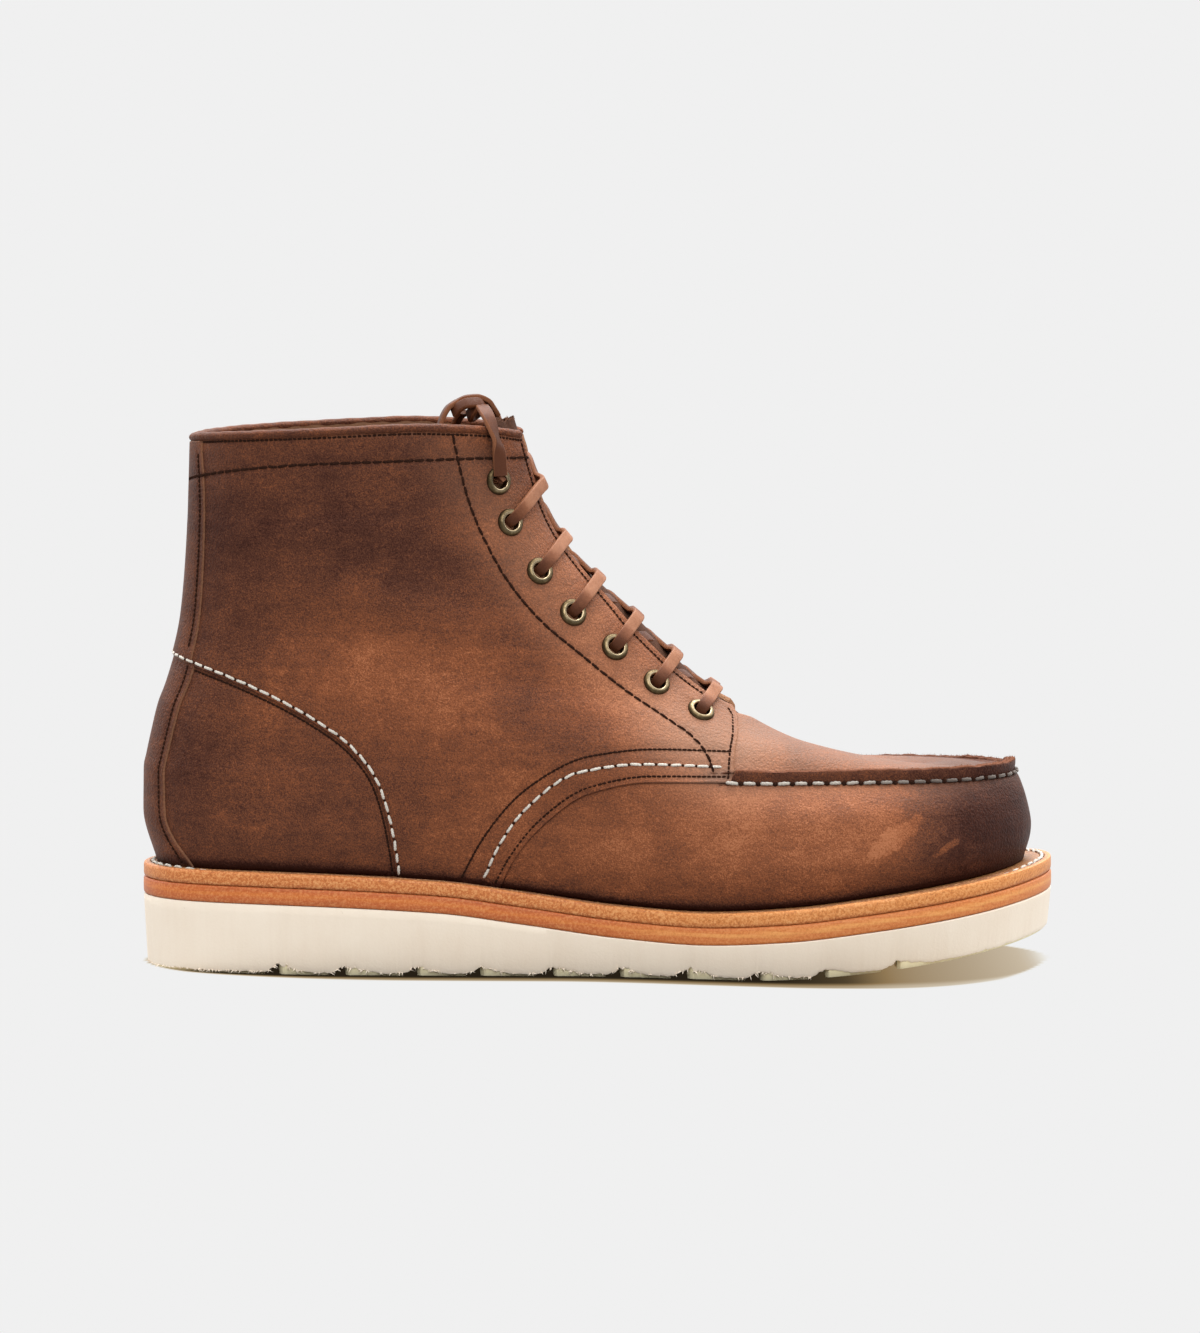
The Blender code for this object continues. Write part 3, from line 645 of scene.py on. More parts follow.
def leaned(points, side, mark, shift):
    """Distances along and across a leaning mark in side elevation; the inner side has it shifted back."""
    lean = math.radians(mark.lean)
    x, z = points[:, 0] + shift * (side > 0) - mark.x, points[:, 2] - mark.z
    return x * math.cos(lean) + z * math.sin(lean), z * math.cos(lean) - x * math.sin(lean)


def relief(points, side):
    """Height of the creases at points of the form."""
    total = np.zeros(len(points))
    for crease in CREASES:
        run, off = leaned(points, side, crease, CREASE_SHIFT)
        total -= crease.depth * np.exp(-(off / crease.width) ** 2 - (2 * run / crease.length) ** 4)
    return total


SEAM_DIP = 0.34
SEAM_REACH = 1.1


def seam_dip(points):
    """Depth of the trough that the stitches pull into the leather."""
    near = distances(points, SEAM_TREE)
    return SEAM_DIP * np.exp(-(near / SEAM_REACH) ** 2)


# Light (above 0) and dark patches of the leather in side elevation: middle, half sizes, lean, tone
Patch = namedtuple("Patch", "x z across up lean tone")
TONE_SHIFT = 3.0
PATCHES = [
    Patch(-78, 140, 52, 13, -8, -0.45), Patch(-85, 162, 60, 16, 0, -0.40), Patch(-66, 98, 36, 24, -10, 0.43),
    Patch(-126, 68, 16, 34, 10, -0.30), Patch(-95, 55, 40, 26, 0, -0.08), Patch(-116, 118, 18, 24, 0, -0.08),
    Patch(30, 50, 74, 24, 0, 0.46), Patch(70, 50, 40, 20, 0, 0.25), Patch(131, 48, 29, 25, -8, -1.0),
    Patch(-146, 76, 13, 46, 0, -0.35), Patch(-126, 132, 18, 34, 0, -0.32), Patch(-92, 118, 26, 10, 0, -0.12),
    Patch(92, 47, 10, 12, -50, 0.25), Patch(20, 90, 40, 22, -42, 0.38), Patch(85, 76, 66, 11, 0, -0.22),
    Patch(41, 66, 7, 2.4, 0, -1.2), Patch(-14, 122, 52, 16, -52, 0.35), Patch(-45, 70, 30, 18, 0, 0.10),
]

# Painted sheen: parts made paler and less red where the sky's light glances off the leather's tops; half sizes
# and strength as above
SHEEN_PATCHES = [
    Patch(-10, 124, 62, 15, -52, 0.13), Patch(36, 82, 24, 16, -30, 0.30), Patch(84, 73, 62, 11, 0, 0.21),
    Patch(44, 50, 60, 15, 0, 0.02), Patch(66, 60, 40, 8, 0, 0.07),
]


def tones(points, side, patches=PATCHES):
    """Tone of the leather at points, from -1 burnished to 1 pulled up, or the strength of its painted sheen.
    """
    total = np.zeros(len(points))
    for patch in patches:
        run, off = leaned(points, side, patch, TONE_SHIFT)
        total += patch.tone * np.exp(-((run / patch.across) ** 2 + (off / patch.up) ** 2) ** 1.5)
    return total


# Seams

Seam = namedtuple("Seam", "name place side lift thread")

# Where rows of stitches lie inside the edges that they follow, and the levels where they start and end
THROAT_SEAM_INSET = 1.9
THROAT_SEAM_DROP = 0.05
THROAT_SEAM_FOOT = 6.02
TAB_SEAM_SHIFT = (-1.5, -0.4)
COLLAR_SEAM_V = 8.8
COLLAR_SEAM_INSET = 0.8
COLLAR_SEAM_DROP = 0.035
BAND_BACK_S = 0.03
BAND_FRONT_V = 8.6
BAND_INSET = 0.5
STAY_SEAM_INSET = 1.8
LOW_STAY_SEAM = (0.05, 6.3)
HIGH_STAY_SEAM = (6.55, 8.8)
STAY_CLIMB = Span(16.6, 1.6)


def strip_s(rows, v):
    """s at the edge of a backstay strip."""
    return s_at_width(v, read(rows, v), front=False)


def throat_place(v, inwards):
    """s and v of a line that lies this far from the throat's edge, on the panel."""
    v = np.atleast_1d(v)
    return np.stack([s_at_width(v, throat_half(v) + inwards), v], axis=1)


def collar_v(s):
    """Level of the collar's edge."""
    return read(COLLAR_EDGE, s)


def collar_line(start, end, drop=0.0, count=120):
    """s and v along the collar, a drop of levels below its edge."""
    s = np.linspace(start, end, count)
    return np.stack([s, collar_v(s) - drop], axis=1)


def shifted(spots, dx, dz):
    return [Spot(spot.x + dx, spot.z + dz) for spot in spots]


def beside(spots, gap):
    """A line of places this far to the left of another in elevation."""
    line = np.array(spots)
    ahead = unit(np.gradient(line, axis=0))
    return [Spot(x - gap * dz, z + gap * dx) for (x, z), (dx, dz) in zip(line, ahead)]


COUNTER_EDGE = beside(COUNTER_WHITE_SEAM, COUNTER_EDGE_GAP)
COUNTER_DARK_SEAM = beside(COUNTER_WHITE_SEAM, COUNTER_DARK_GAP)[:-1]


def stay_lift(place):
    """Lift of the counter seam, which climbs onto the upper backstay strip."""
    s, v = place.T
    width = half_width(level_at(v), s)
    return QUARTER.lift + (HIGH_STAY.lift - QUARTER.lift) * (1 - blend(*STAY_CLIMB, width))


def stay_seam(rows, span, count):
    """s and v of the row of stitches inside the edge of a backstay strip."""
    v = np.linspace(*span, count)
    width = half_width(level_at(v), strip_s(rows, v)) - STAY_SEAM_INSET
    return np.stack([s_at_width(v, width, front=False), v], axis=1)


def all_seams():
    """Every row of stitches of the upper but the moc seam's."""
    quarter, counter = QUARTER.lift, COUNTER.lift
    throat_v = np.linspace(collar_v(COLLAR_FRONT_S)[0] - THROAT_SEAM_DROP, THROAT_SEAM_FOOT, 110)
    collar_s = strip_s(HIGH_STAY_EDGE, COLLAR_SEAM_V)[0], throat_place(COLLAR_SEAM_V, COLLAR_SEAM_INSET)[0, 0]
    band_s = np.linspace(BAND_BACK_S, throat_place(BAND_FRONT_V, BAND_INSET)[0, 0], 140)
    band = np.stack([band_s, read(BAND_SEAM, band_s)], axis=1)
    white = from_elevation(COUNTER_WHITE_SEAM)
    seams = []
    for side in SIDES:
        seams += [
            Seam("eyestay", from_elevation(EYESTAY_SEAM), side, quarter, LONG),
            Seam("quarter_upper", from_elevation(QUARTER_UPPER_SEAM), side, quarter, FINE),
            Seam("quarter_white", from_elevation(QUARTER_WHITE_SEAM), side, quarter, WHITE),
            Seam("quarter_lower", from_elevation(QUARTER_LOWER_SEAM), side, quarter, FINE),
            Seam("throat", throat_place(throat_v, THROAT_SEAM_INSET), side, quarter, FINE),
            Seam("tab", from_elevation(shifted(TAB_EDGE, *TAB_SEAM_SHIFT)), side, quarter, FINE),
            Seam("collar", collar_line(*collar_s, COLLAR_SEAM_DROP), side, quarter, FINE),
            Seam("band", band, side, stay_lift(band), LONG),
            Seam("counter_white", white, side, stay_lift(white), WHITE),
            Seam("counter_dark", from_elevation(COUNTER_DARK_SEAM), side, counter, FINE),
            Seam("low_stay", stay_seam(LOW_STAY_EDGE, LOW_STAY_SEAM, 90), side, LOW_STAY.lift, FINE),
            Seam("high_stay", stay_seam(HIGH_STAY_EDGE, HIGH_STAY_SEAM, 70), side, HIGH_STAY.lift, FINE),
        ]
    return seams


def seam_path(seam):
    """Places of a seam on the form and on the leather, with normals."""
    s, v = seam.place.T
    side = np.full(len(s), seam.side)
    normal = outward(s, v, side)
    base = form(s, v, side)
    lift = seam.lift + relief(base, side)
    return base, base + normal * lift[:, None], normal


SEAMS = all_seams()
SEAM_TREE = tree_of(np.concatenate([seam_path(seam)[0] for seam in SEAMS]))


def seam_rows(names, side):
    """Rows of chart points along some seams of one side and just beside them."""
    rows = []
    for seam in SEAMS:
        if seam.name in names and seam.side == side:
            middle = flatten(SIDE_CHART, seam.place, side)
            forward = unit(np.gradient(middle, axis=0))
            apart = np.stack([-forward[:, 1], forward[:, 0]], axis=1) * SEAM_REACH
            rows += [middle, middle + apart, middle - apart]
    return rows


# How uneven stitches are in length and direction, and how their ends dive, taper and twist
STITCH_UNEVEN = 0.05
STITCH_YAW = 0.06
STITCH_DIVE = 0.75
STITCH_TAPER = 0.6
STITCH_TWIST = 2.2


def stitch_row(path, normal, thread, rng, shift=0.0, sink=0.25):
    """Points and faces of the stitches along one seam, each a short bent thread."""
    run = np.concatenate([[0], np.cumsum(np.linalg.norm(np.diff(path, axis=0), axis=1))])
    whole = int(run[-1] / thread.pitch)
    count = whole - (shift > 0)
    middle = thread.pitch * (np.arange(count) + 0.5 + shift) + (run[-1] - whole * thread.pitch) / 2
    t = np.linspace(-1, 1, thread.rings)
    length = thread.length * (1 + STITCH_UNEVEN * rng.standard_normal(count))
    at = middle[:, None] + t * length[:, None] / 2
    point = np.stack([np.interp(at, run, path[:, k]) for k in range(3)], axis=2)
    up = unit(np.stack([np.interp(at, run, normal[:, k]) for k in range(3)], axis=2))
    forward = unit(np.gradient(point, axis=1))
    across = unit(np.cross(up, forward))
    yaw = STITCH_YAW * rng.standard_normal(count)[:, None] * t * thread.length / 2
    arch = thread.height * (0.5 - STITCH_DIVE * np.abs(t) ** 3) - sink * thread.height
    point = point + across * yaw[..., None] + up * arch[:, None]
    angle = 2 * np.pi * np.arange(thread.sides) / thread.sides
    slim = 1 - STITCH_TAPER * np.abs(t) ** 5
    turn = STITCH_TWIST * np.pi * t[:, None] * thread.length / thread.width / 3
    twist = 1 + thread.ripple * np.cos(2 * angle[None] + turn)
    ring = slim[:, None] * twist
    points = (point[:, :, None]
              + across[:, :, None] * (ring * np.cos(angle) * thread.width / 2)[None, ..., None]
              + up[:, :, None] * (ring * np.sin(angle) * thread.height / 2)[None, ..., None])
    one = np.array(tube_faces(thread.rings, thread.sides), dtype=object)
    size = thread.rings * thread.sides
    faces = [tuple(i + k * size for i in face) for k in range(count) for face in one]
    return points.reshape(-1, 3), faces


TUFT_CORNERS = (0.0, 2.1, 4.2)


def tufts(roots, directions, lengths, width, rng):
    """Short tapered fibres."""
    side = unit(np.cross(directions, rng.standard_normal(roots.shape)))
    other = np.cross(unit(directions), side)
    tips = roots + directions * lengths[:, None]
    corners = [roots + width * (math.cos(a) * side + math.sin(a) * other) for a in TUFT_CORNERS]
    points = np.stack([*corners, tips], axis=1).reshape(-1, 3)
    faces = [tuple(4 * k + i for i in face) for k in range(len(roots))
             for face in ((0, 1, 3), (1, 2, 3), (2, 0, 3), (2, 1, 0))]
    return points, faces


# Materials

class Finish:
    """A node material made in small steps, each of which gives a socket."""

    def __init__(self, name, **sockets):
        self.material = bpy.data.materials.new(name)
        self.material.use_nodes = True
        self.tree = self.material.node_tree
        self.shader = self.tree.nodes["Principled BSDF"]
        self.place = self.tree.nodes.new("ShaderNodeTexCoord").outputs["Object"]
        self.set(**sockets)

    def set(self, **sockets):
        for name, value in sockets.items():
            self.feed(self.shader.inputs[name.replace("_", " ")], value)
        return self.material

    def feed(self, socket, value):
        if isinstance(value, bpy.types.NodeSocket):
            self.tree.links.new(value, socket)
        elif hasattr(value, "__len__") and len(value) == 3 and socket.type == "RGBA":
            socket.default_value = (*value, 1.0)
        else:
            socket.default_value = value

    def node(self, kind, inputs, output=0, **settings):
        made = self.tree.nodes.new("ShaderNode" + kind)
        for key, value in settings.items():
            setattr(made, key, value)
        for key, value in inputs.items():
            self.feed(made.inputs[key], value)
        return made.outputs[output]

    def attribute(self, name):
        return self.node("Attribute", {}, "Fac", attribute_name=name)

    def stretched(self, x, y, z):
        """The place in millimetres, scaled along each axis."""
        return self.node("Mapping", {"Vector": self.place, "Scale": (1000 * x, 1000 * y, 1000 * z)})

    def noise(self, size, detail=2.0, rough=0.5, place=None, warp=0.0):
        """Soft noise with grains of a size in millimetres."""
        scale = (1.0 if place else 1000.0) / size
        return self.node("TexNoise", {"Vector": place or self.place, "Scale": scale, "Detail": detail,
                                      "Roughness": rough, "Distortion": warp}, "Fac")

    def cells(self, size, place=None):
        """Distance from the middle of rounded cells of a size in millimetres."""
        scale = (1.0 if place else 1000.0) / size
        return self.node("TexVoronoi", {"Vector": place or self.place, "Scale": scale, "Smoothness": 0.4},
                         "Distance", feature="SMOOTH_F1")

    def math(self, operation, a, b=0.0):
        return self.node("Math", {0: a, 1: b}, operation=operation)

    def plus(self, base, *terms):
        """base plus each (socket, factor, middle): factor * (socket - middle)."""
        for socket, factor, middle in terms:
            part = self.node("Math", {0: socket, 1: factor, 2: -factor * middle}, operation="MULTIPLY_ADD")
            base = self.math("ADD", base, part)
        return base

    def range(self, value, low, high, to_low=0.0, to_high=1.0):
        return self.node("MapRange", {"Value": value, "From Min": low, "From Max": high, "To Min": to_low,
                                      "To Max": to_high}, interpolation_type="SMOOTHSTEP")

    def ramp(self, value, stops):
        made = self.tree.nodes.new("ShaderNodeValToRGB")
        elements = made.color_ramp.elements
        for _ in stops[2:]:
            elements.new(0.5)
        for element, (position, colour) in zip(elements, stops):
            element.position = position
            element.color = (*colour, 1.0)
        self.feed(made.inputs["Fac"], value)
        return made.outputs["Color"]

    def mix(self, factor, a, b, mode="MIX"):
        made = self.tree.nodes.new("ShaderNodeMix")
        made.data_type = "RGBA"
        made.blend_type = mode
        self.feed(made.inputs[0], factor)
        self.feed(made.inputs[6], a)
        self.feed(made.inputs[7], b)
        return made.outputs[2]

    def bump(self, height, depth, strength=1.0, under=None):
        """Normals of a height of 0 to 1 that stands for a depth in millimetres."""
        inputs = {"Height": height, "Distance": depth * MM, "Strength": strength}
        if under:
            inputs["Normal"] = under
        return self.node("Bump", inputs, "Normal")

    def spot(self, middle, sizes, lean):
        """1 at a place on the boot, falling to 0 at the edge of an ellipsoid around it; in millimetres."""
        turn = (0.0, -math.radians(lean), 0.0)
        place, scale = (tuple(MM * a for a in row) for row in (middle, sizes))
        inputs = {"Vector": self.place, "Location": place, "Rotation": turn, "Scale": scale}
        local = self.node("Mapping", inputs, vector_type="TEXTURE")
        return self.node("TexGradient", {"Vector": local}, "Fac", gradient_type="SPHERICAL")


BROWN = [(0.0, (0.028, 0.008, 0.005)), (0.22, (0.064, 0.022, 0.014)), (0.42, (0.108, 0.039, 0.021)),
         (0.60, (0.175, 0.057, 0.025)), (0.80, (0.265, 0.085, 0.034)), (1.0, (0.390, 0.145, 0.065))]


def leather(name, raw_colour, scuffs=(), shade=0.0):
    """Oiled pull-up leather: mottled browns by tone, painted sheen on some tops, fine pebbled grain, raw cut
    edges.
    """
    f = Finish(name, Specular_IOR_Level=0.07)
    cloud, blotch = f.noise(26, 4, 0.55, warp=0.6), f.noise(7, 3, 0.6, warp=0.4)
    fleck, dust = f.noise(1.1, 3, 0.65), f.noise(0.4, 2, 0.7)
    drawn = f.noise(1.0, 4, 0.6, place=f.stretched(0.05, 0.05, 0.32), warp=0.6)
    tone = f.plus(0.5 + shade, (f.attribute("tone"), 0.42, 0.0), (cloud, 0.38, 0.5), (blotch, 0.28, 0.5),
                  (fleck, 0.38, 0.5), (dust, 1.25, 0.5), (drawn, 0.3, 0.5))
    vein = f.math("ABSOLUTE", f.plus(0.0, (f.noise(7, 5, 0.7, warp=1.0), 1.0, 0.5)))
    vein = f.math("MULTIPLY", f.range(vein, 0.0, 0.028, 1.0, 0.0), f.range(cloud, 0.42, 0.62))
    tone = f.plus(tone, (vein, 0.16, 0.0))
    for scuff in scuffs:
        spot, torn = f.spot(scuff.middle, scuff.sizes, scuff.lean), f.noise(scuff.ragged, 4, 0.7)
        reach = f.plus(spot, (torn, 1.5, 0.5))
        tone = f.plus(tone, (f.range(reach, 0.18, 0.5), scuff.tone, 0.0))
    # Painted sheen: the colour turns paler and less red where the sheen patches lie
    colour = f.mix(f.attribute("bloom"), f.ramp(tone, BROWN), (0.50, 0.30, 0.205))
    colour = f.mix(f.math("MULTIPLY", f.attribute("edge"), 0.35), colour, (0.30, 0.13, 0.07))
    fibre = f.noise(0.35, 3, 0.7)
    raw = f.mix(fibre, tuple(0.45 * c for c in raw_colour), raw_colour)
    colour = f.mix(f.attribute("raw"), colour, raw)
    grain = f.plus(0.0, (f.cells(0.85), 0.8, 0.0), (f.noise(0.4, 2, 0.6), 0.5, 0.0),
                   (f.noise(2.6, 3, 0.6), 0.6, 0.0))
    rough = f.plus(0.47, (blotch, 0.25, 0.5), (dust, 0.2, 0.5), (f.attribute("raw"), 0.35, 0.0))
    return f.set(Base_Color=colour, Roughness=rough, Normal=f.bump(grain, 0.30, 0.95))


Scuff = namedtuple("Scuff", "middle sizes lean ragged tone")
TOE_SCUFFS = [
    Scuff((115.0, -42.0, 43.0), (8.0, 14.0, 1.7), 31, 3.0, 0.34),
    Scuff((97.5, -46.0, 46.5), (17.0, 18.0, 5.0), 36, 4.5, 0.24),
]


def flesh(name, dark, light, size=0.5):
    """Napped inner side or raw cut leather: fibrous and dull."""
    f = Finish(name, Specular_IOR_Level=0.08)
    fibre, cloud = f.noise(size, 4, 0.7, warp=0.8), f.noise(9, 3, 0.5)
    colour = f.mix(f.plus(0.5, (fibre, 1.5, 0.5), (cloud, 0.8, 0.5)), dark, light)
    return f.set(Base_Color=colour, Roughness=0.85, Normal=f.bump(fibre, 0.25))


def cut_edge(name, back, fore, specks, streak):
    """Waxed cut edge of a sole layer, speckled and streaked: colours by height, for the heel and the toe."""
    f = Finish(name, Specular_IOR_Level=0.25)
    layer = f.attribute("layer")
    drawn = f.noise(1.0, 4, 0.6, place=f.stretched(0.04, 0.04, 1.0), warp=0.35)
    speck, cloud = f.noise(0.8, 3, 0.75), f.noise(16, 3, 0.5)
    fac = f.plus(layer, (drawn, streak, 0.5), (cloud, 0.30, 0.5))
    colour = f.mix(f.attribute("fore"), f.ramp(fac, back), f.ramp(fac, fore))
    colour = f.mix(f.range(speck, 0.42, 0.66, 0.0, specks), colour, (0.78, 0.42, 0.17))
    colour = f.mix(f.range(speck, 0.50, 0.30, 0.0, specks), colour, (0.28, 0.10, 0.035))
    rough = f.plus(0.46, (speck, 0.4, 0.5))
    bump = f.bump(f.plus(speck, (drawn, 0.6, 0.0)), 0.14, 0.7)
    return f.set(Base_Color=colour, Roughness=rough, Normal=bump)


def rubber():
    """Cream rubber: clouded and drawn down, with a little dirt; shade paints light and shade: lug recesses are
    painted pale yellow-cream as if lit by bounce light, grooves are painted dark.
    """
    f = Finish("cream_rubber", Specular_IOR_Level=0.3)
    cloud, speck = f.noise(18, 4, 0.55), f.noise(0.8, 3, 0.6)
    drawn = f.noise(1.0, 3, 0.6, place=f.stretched(0.25, 0.25, 0.03))
    fac = f.plus(0.5, (cloud, 0.7, 0.5), (drawn, 0.5, 0.5), (speck, 0.25, 0.5))
    colour = f.mix(fac, (0.77, 0.65, 0.52), (0.87, 0.78, 0.66))
    dirt = f.range(f.noise(2.2, 4, 0.75), 0.67, 0.78, 0.0, 0.35)
    colour = f.mix(dirt, colour, (0.42, 0.32, 0.20))
    shade = f.attribute("shade")
    # Painted light: low shade values turn the recesses pale yellow-cream
    colour = f.mix(f.range(shade, 0.0, 0.15), colour, (0.95, 0.86, 0.58))
    # Painted shade: higher values darken grooves and the wall's foot towards black
    colour = f.mix(f.range(shade, 0.15, 1.0), colour, (0.035, 0.025, 0.012))
    return f.set(Base_Color=colour, Roughness=0.72, Normal=f.bump(f.plus(speck, (drawn, 0.6, 0.0)), 0.10, 0.6))


def cotton(name, dark, light, sheen=0.2):
    """Thread: fine ply, stained dark by the attribute stain."""
    f = Finish(name, Specular_IOR_Level=0.5 * sheen, Sheen_Weight=sheen)
    ply = f.noise(0.35, 3, 0.7)
    colour = f.mix(f.attribute("stain"), f.mix(f.range(ply, 0.25, 0.75), dark, light), (0.055, 0.035, 0.028))
    return f.set(Base_Color=colour, Roughness=0.85, Normal=f.bump(ply, 0.12))


BRASS = [(0.0, (0.042, 0.029, 0.015)), (0.45, (0.135, 0.096, 0.047)), (1.0, (0.42, 0.33, 0.205))]


def brass():
    """Antique brass: dark patina, brighter where it is worn."""
    f = Finish("antique_brass", Metallic=1.0)
    patina, fine = f.noise(1.6, 4, 0.7), f.noise(0.3, 3, 0.6)
    worn = f.plus(f.attribute("worn"), (patina, 0.9, 0.5), (fine, 0.3, 0.5))
    colour = f.ramp(worn, BRASS)
    rough = f.range(worn, 0.0, 1.0, 0.5, 0.26)
    return f.set(Base_Color=colour, Roughness=rough, Normal=f.bump(fine, 0.03, 0.5))


LACE_TANS = [(0.0, (0.085, 0.028, 0.013)), (0.4, (0.20, 0.074, 0.036)), (0.75, (0.37, 0.170, 0.095)),
             (1.0, (0.52, 0.29, 0.18))]


def lace_leather():
    """Flat leather lace: smooth grain face in light tan, raw edges darker and fibrous."""
    f = Finish("lace_leather", Specular_IOR_Level=0.12)
    cloud, fine = f.noise(5, 3, 0.6), f.noise(0.5, 3, 0.65)
    tone = f.plus(0.5, (f.attribute("tone"), 0.6, 0.0), (cloud, 0.5, 0.5), (fine, 0.35, 0.5))
    colour = f.ramp(tone, LACE_TANS)
    raw = f.mix(f.noise(0.3, 3, 0.7), (0.12, 0.04, 0.02), (0.36, 0.15, 0.07))
    colour = f.mix(f.math("MULTIPLY", f.attribute("raw"), 0.8), colour, raw)
    return f.set(Base_Color=colour, Roughness=f.plus(0.5, (fine, 0.3, 0.5)), Normal=f.bump(fine, 0.12, 0.7))


def plain_floor():
    """Evenly pale floor, all emission; close to the sole the boot's warm shadow is painted into its emission
    colour.
    """
    f = Finish("pale_floor", Specular_IOR_Level=0.0, Roughness=1.0, Emission_Strength=1.0,
               Base_Color=(0.0, 0.0, 0.0))
    return f.set(Emission_Color=f.ramp(f.attribute("near"), FLOOR_PAINTED_SHADOW))


MIDSOLE_BACK = [(0.0, (0.40, 0.095, 0.025)), (0.35, (0.48, 0.110, 0.027)), (0.55, (0.58, 0.165, 0.036)),
                (0.75, (0.50, 0.115, 0.027)), (1.0, (0.42, 0.090, 0.022))]
MIDSOLE_FORE = [(0.0, (0.58, 0.175, 0.048)), (0.35, (0.60, 0.185, 0.050)), (0.55, (0.72, 0.310, 0.090)),
                (0.75, (0.62, 0.200, 0.052)), (1.0, (0.54, 0.155, 0.042))]
# The welt's last stop is dark: painted shade on its top where it runs in under the upper
WELT_BACK = [(0.0, (0.36, 0.095, 0.025)), (0.3, (0.50, 0.140, 0.033)), (0.86, (0.54, 0.160, 0.040)),
             (1.0, (0.20, 0.060, 0.020))]
WELT_FORE = [(0.0, (0.44, 0.130, 0.036)), (0.3, (0.58, 0.195, 0.048)), (0.86, (0.62, 0.225, 0.058)),
             (1.0, (0.20, 0.065, 0.022))]


def make_finishes():
    tan = (0.52, 0.27, 0.15)
    return {
        "vamp": leather("vamp_leather", (0.30, 0.12, 0.055), TOE_SCUFFS),
        "upper": leather("upper_leather", tan),
        "edge": leather("ridge_leather", (0.20, 0.075, 0.04), shade=-0.1),
        "lining": flesh("lining_leather", (0.16, 0.075, 0.040), (0.32, 0.17, 0.10)),
        # The tongue's colours are kept very dark: painted shade of the throat it lies in, over its own dark
        # leather
        "tongue": flesh("tongue_leather", (0.045, 0.020, 0.013), (0.11, 0.050, 0.030), 0.8),
        "fray": flesh("leather_fibre", (0.10, 0.032, 0.016), (0.40, 0.17, 0.075), 1.5),
        "insole": flesh("insole_leather", (0.30, 0.18, 0.10), (0.48, 0.32, 0.19), 1.2),
        "outsole": rubber(),
        "midsole": cut_edge("midsole_edge", MIDSOLE_BACK, MIDSOLE_FORE, 0.3, 0.7),
        "welt": cut_edge("welt_edge", WELT_BACK, WELT_FORE, 0.6, 0.2),
        "white": cotton("white_thread", (0.42, 0.37, 0.31), (0.80, 0.76, 0.68)),
        "dark": cotton("dark_thread", (0.010, 0.005, 0.004), (0.045, 0.020, 0.013), 0.0),
        "brass": brass(),
        "lace": lace_leather(),
        "floor": plain_floor(),
    }


# Upper panels

# Rough millimetres for one unit of s and of v, and the least step between points of an outline
S_MM, V_MM = 300, 15
LEAST_STEP = 0.4


def joined(*parts):
    """One line of (s, v) from several, without points closer than the least step."""
    line = np.concatenate(parts)
    steps = np.linalg.norm(np.diff(line, axis=0) * (S_MM, V_MM), axis=1)
    return line[np.concatenate([[True], steps > LEAST_STEP])]


def between(line, low, high):
    """The points of a line of (s, v) whose levels lie between two."""
    return line[(line[:, 1] > low) & (line[:, 1] < high)]


def level_line(v, start, end, step=0.004):
    s = np.linspace(start, end, max(2, int(abs(end - start) / step)))
    return np.stack([s, np.full(len(s), v)], axis=1)


BACK_TUCK = 0.035
BACK_OVERLAP = 0.12
QUARTER_THROAT_FOOT = 6.0


def quarter_outline():
    """Edge of a quarter: collar, throat, tab, raw lower edge, feather line, counter edge, back."""
    tab = from_elevation(TAB_EDGE + QUARTER_EDGE)
    counter = from_elevation(COUNTER_EDGE)
    corner = collar_v(throat_place(COLLAR_V, 0.0)[0, 0])[0]
    throat = throat_place(np.linspace(corner, QUARTER_THROAT_FOOT, 60), 0.0)
    back_v = np.linspace(counter[-1, 1] + BACK_OVERLAP, COLLAR_V, 60)[:-1]
    back = np.stack([np.full(len(back_v), BACK_TUCK), back_v], axis=1)
    counter = counter[counter[:, 0] > BACK_TUCK]
    return joined(collar_line(BACK_TUCK, throat[0, 0]), throat, tab,
                  level_line(0.0, tab[-1, 0], counter[0, 0]), counter, back)


def eyelet_frame(v, side):
    """Middle and normal of an eyelet on the form."""
    point, normal = on_form(v, side * eyelet_half(v), 0.0)
    return point[0], normal[0]


HOLE_RADIUS = 3.3


def hole_place(v, count=20):
    """s and v around an eyelet's hole in the leather."""
    s = s_at_width(v, eyelet_half(v))[0]
    ds, dv = 1e-3, 1e-2
    steps = np.stack([(form(s + ds, v, 1) - form(s - ds, v, 1))[0] / (2 * ds),
                      (form(s, v + dv, 1) - form(s, v - dv, 1))[0] / (2 * dv)], axis=1)
    first = unit(steps[:, 0])
    second = unit(steps[:, 1] - first * (steps[:, 1] @ first))
    angle = 2 * np.pi * np.arange(count) / count
    ring = HOLE_RADIUS * (np.cos(angle)[:, None] * first + np.sin(angle)[:, None] * second)
    return np.array([s, v]) + ring @ np.linalg.pinv(steps).T


def add_quarters(finish):
    """Side panels with the eyelets' holes, from the counter to the tabs and up to the collar."""
    outline = quarter_outline()
    names = ("eyestay", "quarter_upper", "quarter_white", "throat", "band", "tab")
    for side, name in zip(SIDES, SIDE_NAMES):
        holes = [flatten(SIDE_CHART, hole_place(v), side) for v in EYELET_LEVELS]
        rows = clear_rows(seam_rows(names, side), holes)
        panel("quarter_" + name, flatten(SIDE_CHART, outline, side), SIDE_CHART, QUARTER, finish, rows, holes)


ROW_CLEAR = 0.55
ROW_BREAK = 5.0


